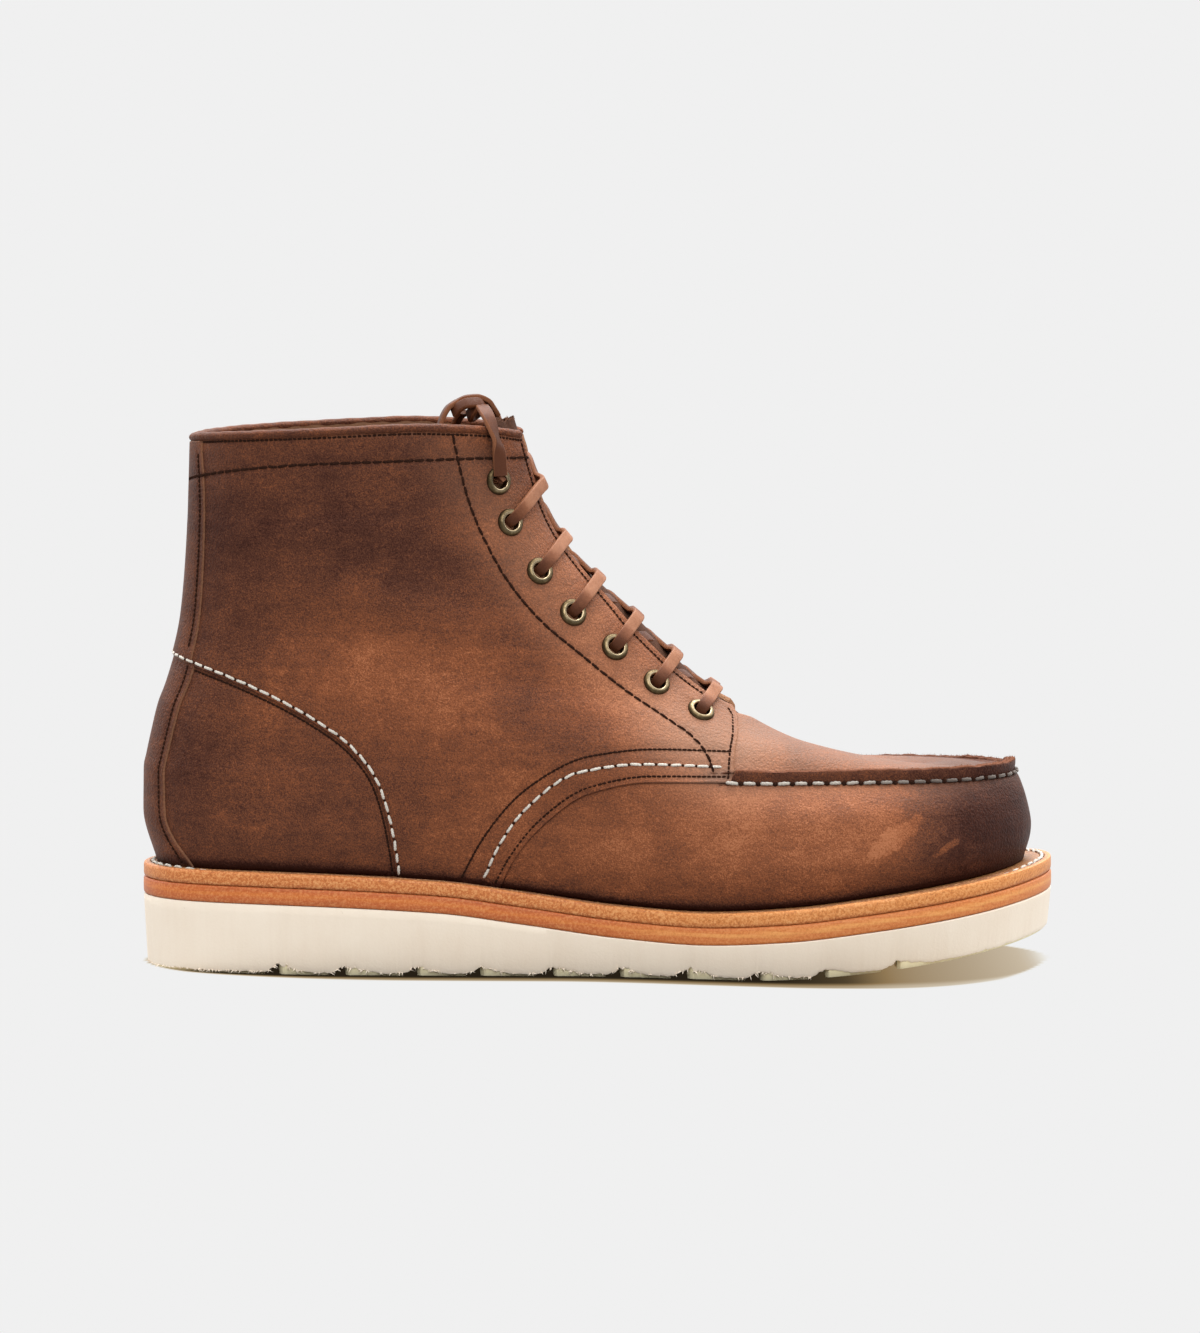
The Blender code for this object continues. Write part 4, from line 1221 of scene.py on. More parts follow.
def clear_rows(rows, holes):
    """Rows of points cut off where they come near a hole or cross an earlier row."""
    kept, made = [*holes], []
    for row in rows:
        row = row[distances(row, tree_of(np.concatenate(kept))) > ROW_CLEAR]
        breaks = np.where(np.linalg.norm(np.diff(row, axis=0), axis=1) > ROW_BREAK)[0] + 1
        runs = [run for run in np.split(row, breaks) if len(run) > 1]
        made += runs
        kept += runs
    return made


def both_sides(chart, half):
    """A closed loop from one half outline that runs from the middle line round to the middle line."""
    lateral = flatten(chart, half, LATERAL)
    medial = flatten(chart, half, MEDIAL)[::-1]
    loop = np.concatenate([lateral, medial])
    keep = np.linalg.norm(loop - np.roll(loop, 1, axis=0), axis=1) > LEAST_STEP
    return loop[keep]


# How far panels reach under their neighbours in side elevation, and the levels that they run between
VAMP_TUCK = (-6.0, 2.0)
VAMP_TOP = 2.04
PLUG_TUCK = (-7.0, 2.6)
PLUG_FOOT = 2.9
PLUG_TOP = 5.72
COUNTER_TUCK = (4.0, 3.2)


def add_vamp(finish):
    """Side wall of the toe, from the feather line to the moc seam; its back edges lie under the quarters."""
    tuck = between(from_elevation(shifted(QUARTER_EDGE, *VAMP_TUCK)), 0.02, VAMP_TOP - 0.14)[::-1]
    half = joined(level_line(0.0, 1.0, tuck[0, 0]), tuck, level_line(VAMP_TOP, tuck[-1, 0] + 0.02, 1.0))
    panel("vamp", both_sides(WALL_CHART, half), WALL_CHART, VAMP, finish)


# Where the plug falls: from the middle line inwards, and from level to level and along the foot
INNER_Y, INNER_V, INNER_V_END = Span(2.0, 14.0), Span(3.0, 0.9), Span(5.1, 0.5)
INNER_X, INNER_X_END = Span(48.0, 20.0), Span(98.0, 28.0)
CREST_Y, CREST_V, CREST_V_END = Span(-13.0, 11.0), Span(4.4, 1.0), Span(5.8, 0.5)
SWELL_V, SWELL_X = Span(3.0, 1.8), Span(LIP_START, 8.0)


def plug_fall(points, v):
    """How far the plug lies below the form: at its inner side, and at the crest in front of the throat."""
    x, y, _ = points.T
    inner = blend(*INNER_Y, y) * blend(*INNER_V, v) * (1 - blend(*INNER_V_END, v))
    crest = CREST_FALL * blend(*CREST_Y, y) * blend(*CREST_V, v) * (1 - blend(*CREST_V_END, v))
    return crest + PLUG_FALL * inner * blend(*INNER_X, x) * (1 - blend(*INNER_X_END, x))


def plug_swell(points, v):
    """Lift of the plug, which swells up to the moc ridge."""
    rim = PLUG_SWELL * (1 - blend(*SWELL_V, v)) * blend(*SWELL_X, points[:, 0])
    return rim - plug_fall(points, v)


def add_plug(finish):
    """Flat top of the toe inside the moc ridge, up to the throat; its side edges lie under the tabs."""
    tuck = between(from_elevation(shifted(TAB_EDGE, *PLUG_TUCK))[::-1], PLUG_FOOT + 0.05, PLUG_TOP - 0.02)
    half = joined(level_line(PLUG_FOOT, 1.0, tuck[0, 0]), tuck, level_line(PLUG_TOP, tuck[-1, 0] + 0.01, 1.0))
    panel("plug", both_sides(PLUG_CHART, half), PLUG_CHART, PLUG, finish, lift_at=plug_swell)


def add_counter(finish):
    """Heel panel; its edge lies under the quarters."""
    edge = from_elevation(shifted(COUNTER_EDGE, *COUNTER_TUCK))
    edge = edge[(edge[:, 1] > 0.05) & (edge[:, 0] > 0.01)]
    half = joined(level_line(0.0, 0.0, edge[0, 0]), edge, level_line(edge[-1, 1], edge[-1, 0] - 0.004, 0.0))
    rows = [row for side in SIDES for row in seam_rows(("counter_dark",), side)]
    panel("counter", both_sides(SIDE_CHART, half), SIDE_CHART, COUNTER, finish, rows)


STAY_FOOT_V = 6.3


def add_backstays(finish):
    """Strips over the back seam: a low one on the counter, and a high one from its edge to the collar."""
    low_v = np.linspace(0.0, LOW_STAY_TOP, 110)
    edge = np.stack([strip_s(LOW_STAY_EDGE, low_v), low_v], axis=1)
    half = joined(level_line(0.0, 0.0, edge[0, 0]), edge, level_line(LOW_STAY_TOP, edge[-1, 0] - 0.003, 0.0))
    panel("backstay_low", both_sides(SIDE_CHART, half), SIDE_CHART, LOW_STAY, finish, bare=STAY_BARE)
    foot = from_elevation(shifted(COUNTER_EDGE, 0.0, 0.2))
    foot = foot[foot[:, 0] < strip_s(HIGH_STAY_EDGE, STAY_FOOT_V)[0]][::-1]
    high_v = np.linspace(foot[-1, 1] + 0.06, COLLAR_V, 90)
    edge = np.stack([strip_s(HIGH_STAY_EDGE, high_v), high_v], axis=1)
    half = joined(foot, edge, level_line(COLLAR_V, edge[-1, 0] - 0.003, 0.0))
    panel("backstay_high", both_sides(SIDE_CHART, half), SIDE_CHART, HIGH_STAY, finish, bare=STAY_BARE)


# Section of the moc ridge, from under the seam over both raw tops, which are ragged, to the plug
RidgePoint = namedtuple("RidgePoint", "inward height ragged dark")
RIDGE = [
    RidgePoint(0.5, -1.6, 0.0, 0.0), RidgePoint(0.1, -0.6, 0.0, 0.0), RidgePoint(0.55, 0.0, 0.0, 0.2),
    RidgePoint(0.42, 1.2, 0.0, 0.2), RidgePoint(0.22, 2.8, 0.0, 0.2), RidgePoint(0.2, 4.0, 0.0, 0.2),
    RidgePoint(0.45, 4.5, 1.0, 0.2), RidgePoint(1.2, 4.75, 1.0, 0.0), RidgePoint(1.95, 4.6, 1.0, 0.0),
    RidgePoint(2.12, 4.0, -0.5, 0.0), RidgePoint(2.3, 4.45, 1.0, 0.0), RidgePoint(3.0, 4.6, 1.0, 0.0),
    RidgePoint(3.5, 4.2, 1.0, 0.0), RidgePoint(3.7, 3.4, 0.0, 0.0),
]
RAW_TOPS = (6, 13)
RIDGE_V, RIDGE_INNER_V, RIDGE_TAIL_V = 2.0, 3.0, 3.1
RIDGE_UNDER_TAB = 3.5
RIDGE_SEAT, RIDGE_TUCK, RIDGE_ROOT = 0.35, 0.7, 2.0
RIDGE_RAGGED = 0.16
RIDGE_TONE = 0.4
RIDGE_FIBRES = 1500
FIBRE_FREE_ENDS = 14
FIBRE_WIDTH = 0.07
INNER_RIDGE_LOSS = 0.42
INNER_RIDGE_SPAN = Span(0.0, 0.06)


def add_moc_ridge(finishes, rng):
    """Raised toe seam: the wall's leather and the plug's stand up side by side with raw tops."""
    start = s_at_x(level_at(RIDGE_V), LIP_START - RIDGE_UNDER_TAB)[0]
    s, side = out_and_back(np.linspace(start, 1.0, 150))
    base, inner, tail = (form(s, v, side) for v in (RIDGE_V, RIDGE_INNER_V, RIDGE_TAIL_V))
    rest = outward(s, RIDGE_TAIL_V, side)
    forward = unit(np.gradient(base, axis=0) * (1, 1, 0))
    inward = unit(np.cross(UP, forward))
    inward = inward * np.sign((inward * (inner - base)).sum())
    lower = np.where(side > 0, 1 - INNER_RIDGE_LOSS * blend(*INNER_RIDGE_SPAN, 1 - s), 1.0)
    grow = blend(LIP_START, LIP_BLEND, base[:, 0]) * lower
    ragged = RIDGE_RAGGED * np.convolve(rng.standard_normal(len(s) + 4), np.ones(5) / 2.2, "valid")
    rings = []
    for row in RIDGE:
        rise = row.height * grow + ragged * row.ragged if row.height > 0 else row.height
        rings.append(base + inward * row.inward + UP * np.reshape(rise, (-1, 1)))
    rings.append(inner + rest * (RIDGE_SEAT + PLUG_SWELL * grow[:, None]))
    rings.append(tail + rest * (PLUG_SWELL * grow[:, None] - RIDGE_TUCK))
    rings.append(tail - rest * RIDGE_ROOT)
    points = np.stack(rings, axis=1)
    count = len(rings)
    flat = points.reshape(-1, 3)
    hidden = [0.0] * (count - len(RIDGE))
    raw = np.tile([float(row.ragged != 0) for row in RIDGE] + hidden, len(s)) * np.repeat(grow, count)
    dark = np.tile([row.dark for row in RIDGE] + hidden, len(s))
    tone = RIDGE_TONE * tones(flat, np.repeat(side, count)) - dark
    add_piece("moc_ridge", flat, tube_faces(len(s), count), finishes["edge"], "upper", ("upper",),
              tone=tone, raw=raw, edge=0.0, bloom=0.0)
    pick = rng.integers(FIBRE_FREE_ENDS, len(s) - FIBRE_FREE_ENDS, RIDGE_FIBRES)
    lip = points[pick, rng.integers(*RAW_TOPS, RIDGE_FIBRES)]
    lean = unit(0.9 * UP + 0.7 * rng.standard_normal((RIDGE_FIBRES, 3)))
    fibres = tufts(lip - 0.1 * UP, lean, rng.uniform(0.3, 1.0, RIDGE_FIBRES), FIBRE_WIDTH, rng)
    add_piece("moc_fray", *fibres, finishes["fray"], "upper", ("upper",))
    return base, -inward


BINDING_OUT, BINDING_UP = 2.0, 1.45
BINDING_SIDES = 14
BINDING_RISE = 0.03
BINDING_DEPTH = 0.45
BINDING_OVERHANG = 0.3
BINDING_DARK = 0.15


def add_binding(finish):
    """Rolled binding along the collar, from one throat edge round the back to the other."""
    edge = throat_place(collar_v(COLLAR_FRONT_S)[0], -BINDING_OVERHANG)[0, 0]
    s, side = out_and_back(np.linspace(edge, 0.0, 140))
    v = collar_v(s) + BINDING_RISE
    normal = unit(outward(s, v, side) * (1, 1, 0))
    path = form(s, v, side) - normal * BINDING_DEPTH
    angle = 2 * np.pi * np.arange(BINDING_SIDES) / BINDING_SIDES
    section = np.stack([BINDING_OUT * np.cos(angle), BINDING_UP * np.sin(angle)], axis=1)
    number = np.arange(len(s))
    bulk = 1 + 0.04 * np.sin(number * 0.9) + 0.03 * np.sin(number * 0.37)
    taper = np.clip(np.minimum(number, len(s) - 1 - number) * 0.2 + 0.55, 0, 1)
    points, faces = sweep(path, normal, np.tile(UP, (len(s), 1)), section, bulk * taper)
    tone = tones(points, np.repeat(side, BINDING_SIDES)) - BINDING_DARK
    add_piece("collar_binding", points, faces, finish, "upper", ("upper",),
              tone=tone, raw=0.0, edge=0.0, bloom=0.0)


LINING_OVERHANG = 1.1
LINING_EASE = 1.6
LINING_EASE_WIDTH = 30.0
LINING_ABOVE_EDGE = 0.02


def loop_rows(v, count, gap):
    """s and side all round a level from the back: steps to the throat's edge, over the gap and back."""
    edge = s_at_width(v, throat_half(v) - LINING_OVERHANG)[0]
    over = edge + (1 - edge) * np.arange(1, gap + 1) / gap
    one = np.concatenate([edge * np.arange(count + 1) / count, over])
    s = np.concatenate([one, one[-2:0:-1]])
    return s, np.concatenate([np.full(len(one), LATERAL), np.full(len(one) - 2, MEDIAL)])


def add_lining(finish):
    """Inner leather of the whole upper, open at the throat, seen in the shaft and at the throat's edge."""
    levels = np.concatenate([np.arange(0.06, THROAT_FOOT, 0.19), [THROAT_FOOT], np.arange(5.95, 8.95, 0.12),
                             [8.96, 9.02]])
    count, gap = 110, 10
    outer, inner = [], []
    for v in levels:
        s, side = loop_rows(v, count, gap)
        level = np.minimum(v, collar_v(s) + LINING_ABOVE_EDGE)
        skin, normal = form(s, level, side), outward(s, level, side)
        front = blend(0.0, 0.2, s - s_at_width(v, LINING_EASE_WIDTH)[0] + 0.1)
        deep = LINING_EASE * blend(0.0, 1.0, 6.5 - v) * front + plug_fall(skin, level)
        outer.append(skin + normal * (LINING.lift - deep)[:, None])
        inner.append(skin + normal * (LINING.lift - LINING.thick - deep)[:, None])
    around = len(s)
    foot = int(np.where(levels == THROAT_FOOT)[0][0])
    hole = range(count, count + 2 * gap)
    cells = [cell for cell in grid_cells(len(levels), around, closed=True)
             if cell[0] // around < foot or cell[0] % around not in hole]
    points = np.concatenate(outer + inner)
    faces = wall_faces(cells, len(points) // 2)
    used, place = np.unique([i for face in faces for i in face], return_inverse=True)
    pieces = np.split(place, np.cumsum([len(face) for face in faces])[:-1])
    add_piece("lining", points[used], pieces, finish, "upper", ("upper",))


TONGUE_UNDER = 9.0
TONGUE_GAP = 0.9
TONGUE_THICK = 1.8
TONGUE_SWELL, TONGUE_SWELL_V = 0.3, Span(6.0, 0.8)
TONGUE_DIP, TONGUE_DIP_SPAN = 0.9, Span(0.55, 0.4)
CROWN_V, CROWN_V_END = Span(5.75, 0.35), Span(7.1, 0.9)
TONGUE_STEPS = 34
TONGUE_FRAY = 0.35
TONGUE_FIBRES = 420


def add_tongue(finishes, rng):
    """Tongue from under the plug to just above the collar, with a frayed top."""
    levels = np.concatenate([np.arange(5.55, 9.0, 0.1), [9.03, 9.07]])
    outer, inner = [], []
    for v in levels:
        edge = s_at_width(v, throat_half(v) + TONGUE_UNDER)[0]
        s, side = out_and_back(edge + (1 - edge) * np.arange(TONGUE_STEPS + 1) / TONGUE_STEPS)
        skin, normal = form(s, v, side), outward(s, v, side)
        across = np.abs(skin[:, 1] - centre_y(skin[:, 0], skin[:, 2])) / throat_half(v)
        crown = TONGUE_CROWN * blend(*CROWN_V, v) * (1 - blend(*CROWN_V_END, v))
        swell = (crown + TONGUE_SWELL * blend(*TONGUE_SWELL_V, v)) * (1 - blend(0.0, 1.0, across))
        depth = WALL + TONGUE_GAP - swell + TONGUE_DIP * blend(*TONGUE_DIP_SPAN, across)
        outer.append(skin - normal * depth[:, None])
        inner.append(skin - normal * (depth + TONGUE_THICK)[:, None])
    around = len(s)
    outer[-1][:, 2] += TONGUE_FRAY * rng.standard_normal(around)
    inner[-1][:, 2] += TONGUE_FRAY * rng.standard_normal(around)
    points = np.concatenate(outer + inner)
    faces = wall_faces(grid_cells(len(levels), around), len(points) // 2)
    add_piece("tongue_leaf", points, faces, finishes["tongue"], "tongue", ("tongue",))
    lip = np.concatenate([outer[-1], inner[-1], (outer[-1] + inner[-1]) / 2])
    root = lip[rng.integers(0, len(lip), TONGUE_FIBRES)] + 0.3 * rng.standard_normal((TONGUE_FIBRES, 3))
    lean = unit(UP + 0.6 * rng.standard_normal((TONGUE_FIBRES, 3)))
    fibres = tufts(root - 0.3 * UP, lean, rng.uniform(0.2, 0.7, TONGUE_FIBRES), FIBRE_WIDTH, rng)
    add_piece("tongue_fray", *fibres, finishes["fray"], "tongue", ("tongue",))


STITCH_SEAT = 0.6
PRICK_SINK = 0.1
MOC_UNDER_TAB = 3.2
MOC_OUT, MOC_UP, MOC_TILT = 0.05, 0.35, 0.25
MOC_STAIN, TOE_STAIN, STAIN_SPAN = 0.25, 0.62, Span(70.0, 44.0)


def add_stitching(finishes, moc_base, moc_out, rng):
    """Rows of white and dark stitches of the upper, with dark marks of painted shade in the stitch holes
    between the white ones.
    """
    light, dark = Heap(), Heap()
    for seam in SEAMS:
        _, path, normal = seam_path(seam)
        path = path - normal * (SEAM_DIP * STITCH_SEAT)
        if seam.thread is WHITE:
            light.add(*stitch_row(path, normal, WHITE, rng))
            dark.add(*stitch_row(path, normal, STITCH_HOLE_SHADE, rng, shift=0.5, sink=PRICK_SINK))
        else:
            dark.add(*stitch_row(path, normal, seam.thread, rng))
    shown = moc_base[:, 0] > LIP_START - MOC_UNDER_TAB
    path = (moc_base + moc_out * MOC_OUT + UP * MOC_UP)[shown]
    normal = unit(moc_out + MOC_TILT * UP)[shown]
    points, faces = stitch_row(path, normal, MOC, rng, sink=PRICK_SINK)
    dark.add(*stitch_row(path - UP * PRICK_SINK, normal, MOC_HOLE_SHADE, rng, shift=0.5, sink=PRICK_SINK))
    add_piece("stitching_white", *light.mesh(), finishes["white"], "upper", ("upper",), sharp=70)
    add_piece("stitching_moc", points, faces, finishes["white"], "upper", ("upper",), sharp=70,
              stain=MOC_STAIN + TOE_STAIN * blend(*STAIN_SPAN, points[:, 0]))
    add_piece("stitching_dark_and_hole_shade", *dark.mesh(), finishes["dark"], "upper", ("upper",), sharp=70)


# Sole

def loop_xy(outline, s):
    """x, y around a loop: back to front on the outer side, then front to back on the inner side."""
    around = np.concatenate([s, s[-2:0:-1]])
    side = np.concatenate([np.full(len(s), LATERAL), np.full(len(s) - 2, MEDIAL)])
    x = along(outline, around)
    return x, centre_y(x, np.zeros_like(x)) + side * half_width(outline, around), side


def ladder(start, count):
    """Faces that close a loop of points across the foot."""
    faces = []
    for i in range(count // 2):
        corners = (i, i + 1, (count - i - 1) % count, (count - i) % count)
        faces.append([start + corner for corner in dict.fromkeys(corners)])
    return faces


# Loops of a sole layer from its bottom up: how far drawn in, height in the layer, and place in its colours
LayerRow = namedtuple("LayerRow", "inset height layer")
MIDSOLE_ROWS = [
    LayerRow(0.5, 0.0, 0.0), LayerRow(0.1, 0.06, 0.02), LayerRow(0.0, 0.15, 0.12), LayerRow(-0.05, 0.5, 0.5),
    LayerRow(0.0, 0.85, 0.88), LayerRow(0.2, 0.95, 0.95), LayerRow(0.6, 1.0, 1.0),
]
# The welt's innermost top rows run past 1 in its colours, into the dark stop of painted shade under the upper
WELT_ROWS = [
    LayerRow(0.6, 0.0, 0.0), LayerRow(0.15, 0.08, 0.03), LayerRow(0.05, 0.2, 0.2), LayerRow(0.05, 0.75, 0.7),
    LayerRow(0.25, 0.92, 0.85), LayerRow(0.8, 1.0, 0.92), LayerRow(2.1, 1.0, 1.0), LayerRow(2.5, 0.84, 1.1),
    LayerRow(3.7, 0.84, 1.15), LayerRow(4.1, 1.0, 1.2),
]
INSOLE_ROWS = [
    LayerRow(1.9, 0.0, 0.0), LayerRow(0.0, 0.45, 0.4), LayerRow(0.0, 0.85, 0.8), LayerRow(0.7, 1.0, 1.0),
    LayerRow(8.0, 0.97, 1.0), LayerRow(18.0, 0.9, 1.0),
]
FORE_SPAN = Span(-30.0, 90.0)

# The welt's row of stitches lies in its groove and shows at the toe and heel
WELT_SEAM_INSET = 3.1
WELT_SEAM_DEPTH = 1.2
PEEK_TOE, PEEK_HEEL = Span(132.0, 14.0), Span(124.0, 18.0)


def add_layer(name, outline, bottom, top, rows, finish, inner=None):
    """A sole layer from loops at heights of 0 (bottom) to 1 (top); a ring if it has an inner loop."""
    s = np.linspace(0, 1, 261)
    loops, layers = [], []
    for row in rows:
        x, y, _ = loop_xy(inset(outline, row.inset), s)
        loops.append(np.stack([x, y, bottom(x) + (top(x) - bottom(x)) * row.height], axis=1))
        layers.append(np.full(len(x), row.layer))
    if inner:
        for height in (1.0, 0.0):
            x, y, _ = loop_xy(inner, s)
            loops.append(np.stack([x, y, bottom(x) + (top(x) - bottom(x)) * height], axis=1))
            layers.append(np.full(len(x), height))
    count = len(loops[0])
    faces = [face for face in tube_faces(len(loops), count, closed=bool(inner)) if len(face) == 4]
    if not inner:
        faces += ladder(0, count) + ladder((len(loops) - 1) * count, count)
    node = name.split("_")[0]
    points = np.concatenate(loops)
    add_piece(name, points, faces, finish, node, (node,), layer=np.concatenate(layers),
              fore=blend(*FORE_SPAN, points[:, 0]))


def add_welt_and_midsole(finishes, rng):
    """Leather through-sole, the welt on it and the welt's stitches."""
    add_layer("midsole_leather", SOLE, lambda x: sole_top(x) + SEAT / 2,
              lambda x: midsole_top(x) + SEAT / 2 - LAYER_SHIFT, MIDSOLE_ROWS, finishes["midsole"])
    add_layer("welt_strip", SOLE, lambda x: midsole_top(x) + SEAT - LAYER_SHIFT, welt_top, WELT_ROWS,
              finishes["welt"], inset(LEVELS["feather"], WELT_LEDGE))
    x, y, _ = loop_xy(inset(SOLE, WELT_SEAM_INSET), np.linspace(0, 1, 400))
    peek = blend(*PEEK_TOE, x) + blend(*PEEK_HEEL, -x)
    path = np.stack([x, y, welt_top(x) - WELT_SEAM_DEPTH + peek], axis=1)
    path = np.concatenate([path, path[:1]])
    row = stitch_row(path, np.tile(UP, (len(path), 1)), WELT_THREAD, rng, sink=0.0)
    add_piece("stitching_welt", *row, finishes["white"], "welt", ("welt",), sharp=70)


def add_insole(finish):
    bed = inset(LEVELS["feather"], INSOLE_INSET)
    add_layer("insole_bed", bed, midsole_top, lambda x: welt_top(x) + SEAT + INSOLE_THICK, INSOLE_ROWS, finish)


# Lugs: the side wall's lower edge rises to a notch before each groove and falls again behind it
LUG_RISE = 5.2
LUG_FALL = 12.0
RISE_POWER, FALL_POWER = 1.5, 1.4
NOTCH = 2.1
HEM = 0.55
GROOVE_FRONT = 1.2
GROOVE_OPENS, GROOVE_CLOSES = Span(-LUG_RISE, 1.0), Span(-0.4, 0.8)

# Ends of the sole, where its side turns round
END_FROM = 120
END_TURN = 0.3

# Loops down the side wall by share of its height, and how lines wander and fray
WALL_SHARES = (0.0, 0.03, 0.15, 0.35, 0.55, 0.75, 0.9, 0.97, 1.0)
HEM_ROW = len(WALL_SHARES) - 1
FINE_STEP = 0.55
WANDER, WANDER_PITCH = 2.2, 0.11
# The recess takes painted bounce light; the grooves and the tread take painted shade
RECESS, RECESS_SHADE = 0.3, 0.15
TREAD_LINES = 34
ZIGZAG, ZIGZAG_TURNS = 3.2, 9
TREAD_SHADE = 0.3
FLAKES = 520
FLAKE_WIDTH = 0.26
TORN_TO_X, TORN_HEEL_X = 70, -112


def groove_offset(x):
    """How far x lies ahead of the nearest groove's front edge."""
    behind = x - GROOVE_FIRST - GROOVE_FRONT
    number = np.clip(np.floor((behind + LUG_RISE) / GROOVE_PITCH), 0, GROOVE_COUNT - 1)
    return behind - number * GROOVE_PITCH


def hem_rise(x):
    """How far the side wall's lower edge rises: quickly up to each groove, then slowly down again."""
    off = groove_offset(x)
    rise = np.clip((off + LUG_RISE) / LUG_RISE, 0, 1) ** RISE_POWER
    fall = np.clip(1 - off / LUG_FALL, 0, 1) ** FALL_POWER
    return NOTCH * np.where(off < 0, rise, fall)


def groove_depth(x):
    """How deep the tread is cut at x."""
    off = groove_offset(x)
    return (NOTCH + HEM) * blend(*GROOVE_OPENS, off) * (1 - blend(*GROOVE_CLOSES, off))


def underside(x):
    """Height of the sole's lowest face, which springs up to the toe."""
    ahead = np.clip((x - SPRING_START) / (SOLE.front_x - SPRING_START), 0, None)
    return SPRING_RISE * ahead ** SPRING_POWER


def rough_line(count, rng, grain):
    """Seeded noise along a line, smoothed over some points."""
    return np.convolve(rng.standard_normal(count + grain - 1), np.ones(grain) / grain ** 0.5, "valid")


def drawn_in(x, y, middle, distance, z):
    """Points of the sole's side moved in towards its middle line."""
    away = unit(np.stack([np.where(np.abs(x) > END_FROM, x, 0.0) * END_TURN, y - middle], axis=1))
    return np.stack([x - away[:, 0] * distance, y - away[:, 1] * distance, z], axis=1)


def outsole_stations():
    """s along the sole, even at its ends and fine enough along its sides for the lugs."""
    foot = inset(SOLE, SOLE_DRAFT)
    fine = s_at_x(foot, np.arange(foot.back_x + 1, foot.front_x, FINE_STEP))
    s = np.unique(np.round(np.concatenate([np.linspace(0, 1, 181), fine]), 5))
    s = s[np.concatenate([[True], np.diff(s) > 4e-4])]
    s[-1] = 1.0
    return s


def tread(outer, other):
    """Lines along the underside from one edge to the other, with zigzag grooves, and their painted shade."""
    lines, shades = [], []
    for share in np.linspace(0.02, 0.98, TREAD_LINES):
        line = outer + (other - outer) * share
        zigzag = ZIGZAG * np.abs((share * ZIGZAG_TURNS) % 2 - 1) - ZIGZAG / 2
        deep = groove_depth(line[:, 0] + zigzag)
        inner = blend(0.0, 0.06, share) * blend(0.0, 0.06, 1 - share)
        line[:, 2] = np.maximum(line[:, 2] * (1 - inner) + (underside(line[:, 0]) + deep) * inner, 0.0)
        lines.append(line)
        shades.append(TREAD_SHADE * deep / (NOTCH + HEM))
    return lines, shades


def add_outsole(finish, rng):
    """Cream wedge: side wall with ragged lug edges and scalloped grooves, treaded underside."""
    s = outsole_stations()
    x, y, side = loop_xy(inset(SOLE, SOLE_DRAFT), s)
    top_x, top_y, _ = loop_xy(SOLE, s)
    middle = centre_y(x, np.zeros_like(x))
    half, count = len(s), len(x)
    wander = WANDER * np.sin(x * WANDER_PITCH + side) + rough_line(count, rng, 60) * 0.3
    run = x + wander * 0.4
    cut, open_depth = hem_rise(run), groove_depth(run)
    ragged = 0.3 * np.abs(rough_line(count, rng, 3)) * (0.6 + blend(0.2, 1.0, cut))
    ragged = ragged + 0.1 * np.abs(rough_line(count, rng, 9))
    hem = underside(x) + HEM + cut + ragged
    rows, shades = [], []
    for share in WALL_SHARES:
        draw = 0.35 * blend(0.0, 0.04, 0.04 - share) + 0.12 * blend(0.96, 0.04, share)
        px, py = top_x + (x - top_x) * share, top_y + (y - top_y) * share
        rows.append(drawn_in(px, py, middle, draw, sole_top(px) + (hem - sole_top(px)) * share))
        shades.append(np.zeros(count))
    ahead = blend(0.0, 1.5, groove_offset(run))
    recess = RECESS + (0.4 + 1.1 * blend(0.2, 1.2, cut)) * (1 - ahead)
    ground = np.where(open_depth > 1.0, underside(x) + open_depth, underside(x))
    rows.append(drawn_in(x, y, middle, recess, np.maximum(hem - 0.1, ground)))
    # Painted light on the recess row, painted shade where a groove opens; the ground row below gets more
    # painted shade
    shades.append(RECESS_SHADE + (1 - RECESS_SHADE) * blend(0.5, 1.0, open_depth))
    rows.append(drawn_in(x, y, middle, recess + 0.5, ground))
    shades.append(0.4 + 0.6 * blend(0.5, 1.0, open_depth))
    last = rows[-1]
    under, dark = tread(last[:half], np.concatenate([last[:1], last[half:][::-1], last[half - 1:half]]))
    faces = [face for face in tube_faces(len(rows), count) if len(face) == 4] + ladder(0, count)
    first, edge = len(rows) * count, (len(rows) - 1) * count
    near = [edge + i for i in range(half)]
    far = [edge] + [edge + count - i for i in range(1, half - 1)] + [edge + half - 1]
    lines = [near] + [[first + k * half + i for i in range(half)] for k in range(len(under))] + [far]
    for a, b in zip(lines, lines[1:]):
        quads = [list(dict.fromkeys((a[i], a[i + 1], b[i + 1], b[i]))) for i in range(half - 1)]
        faces += [face for face in quads if len(face) > 2]
    add_piece("outsole_wedge", np.concatenate(rows + under), faces, finish, "outsole", ("outsole",), sharp=35,
              shade=np.concatenate(shades + dark))
    add_flash(finish, rows[HEM_ROW], cut, side, rng)


def add_flash(finish, lip, cut, side, rng):
    """Torn flakes of rubber along the lugs' lower edge."""
    torn = (lip[:, 0] < TORN_TO_X) & ((cut > 0.4) | (rng.random(len(lip)) < 0.3) | (lip[:, 0] < TORN_HEEL_X))
    pick = rng.choice(np.where(torn)[0], FLAKES)
    ahead = 0.9 * rng.standard_normal(FLAKES)
    out = 0.5 * side[pick] + 0.3 * rng.standard_normal(FLAKES)
    lean = unit(np.stack([ahead, out, -1.3 * rng.random(FLAKES) - 0.1], axis=1))
    points, faces = tufts(lip[pick] + UP * 0.15, lean, rng.uniform(0.5, 1.9, FLAKES), FLAKE_WIDTH, rng)
    points[:, 2] = np.maximum(points[:, 2], 0.02)
    add_piece("outsole_flash", points, faces, finish, "outsole", ("outsole",), shade=0.0)


# Eyelets and lace

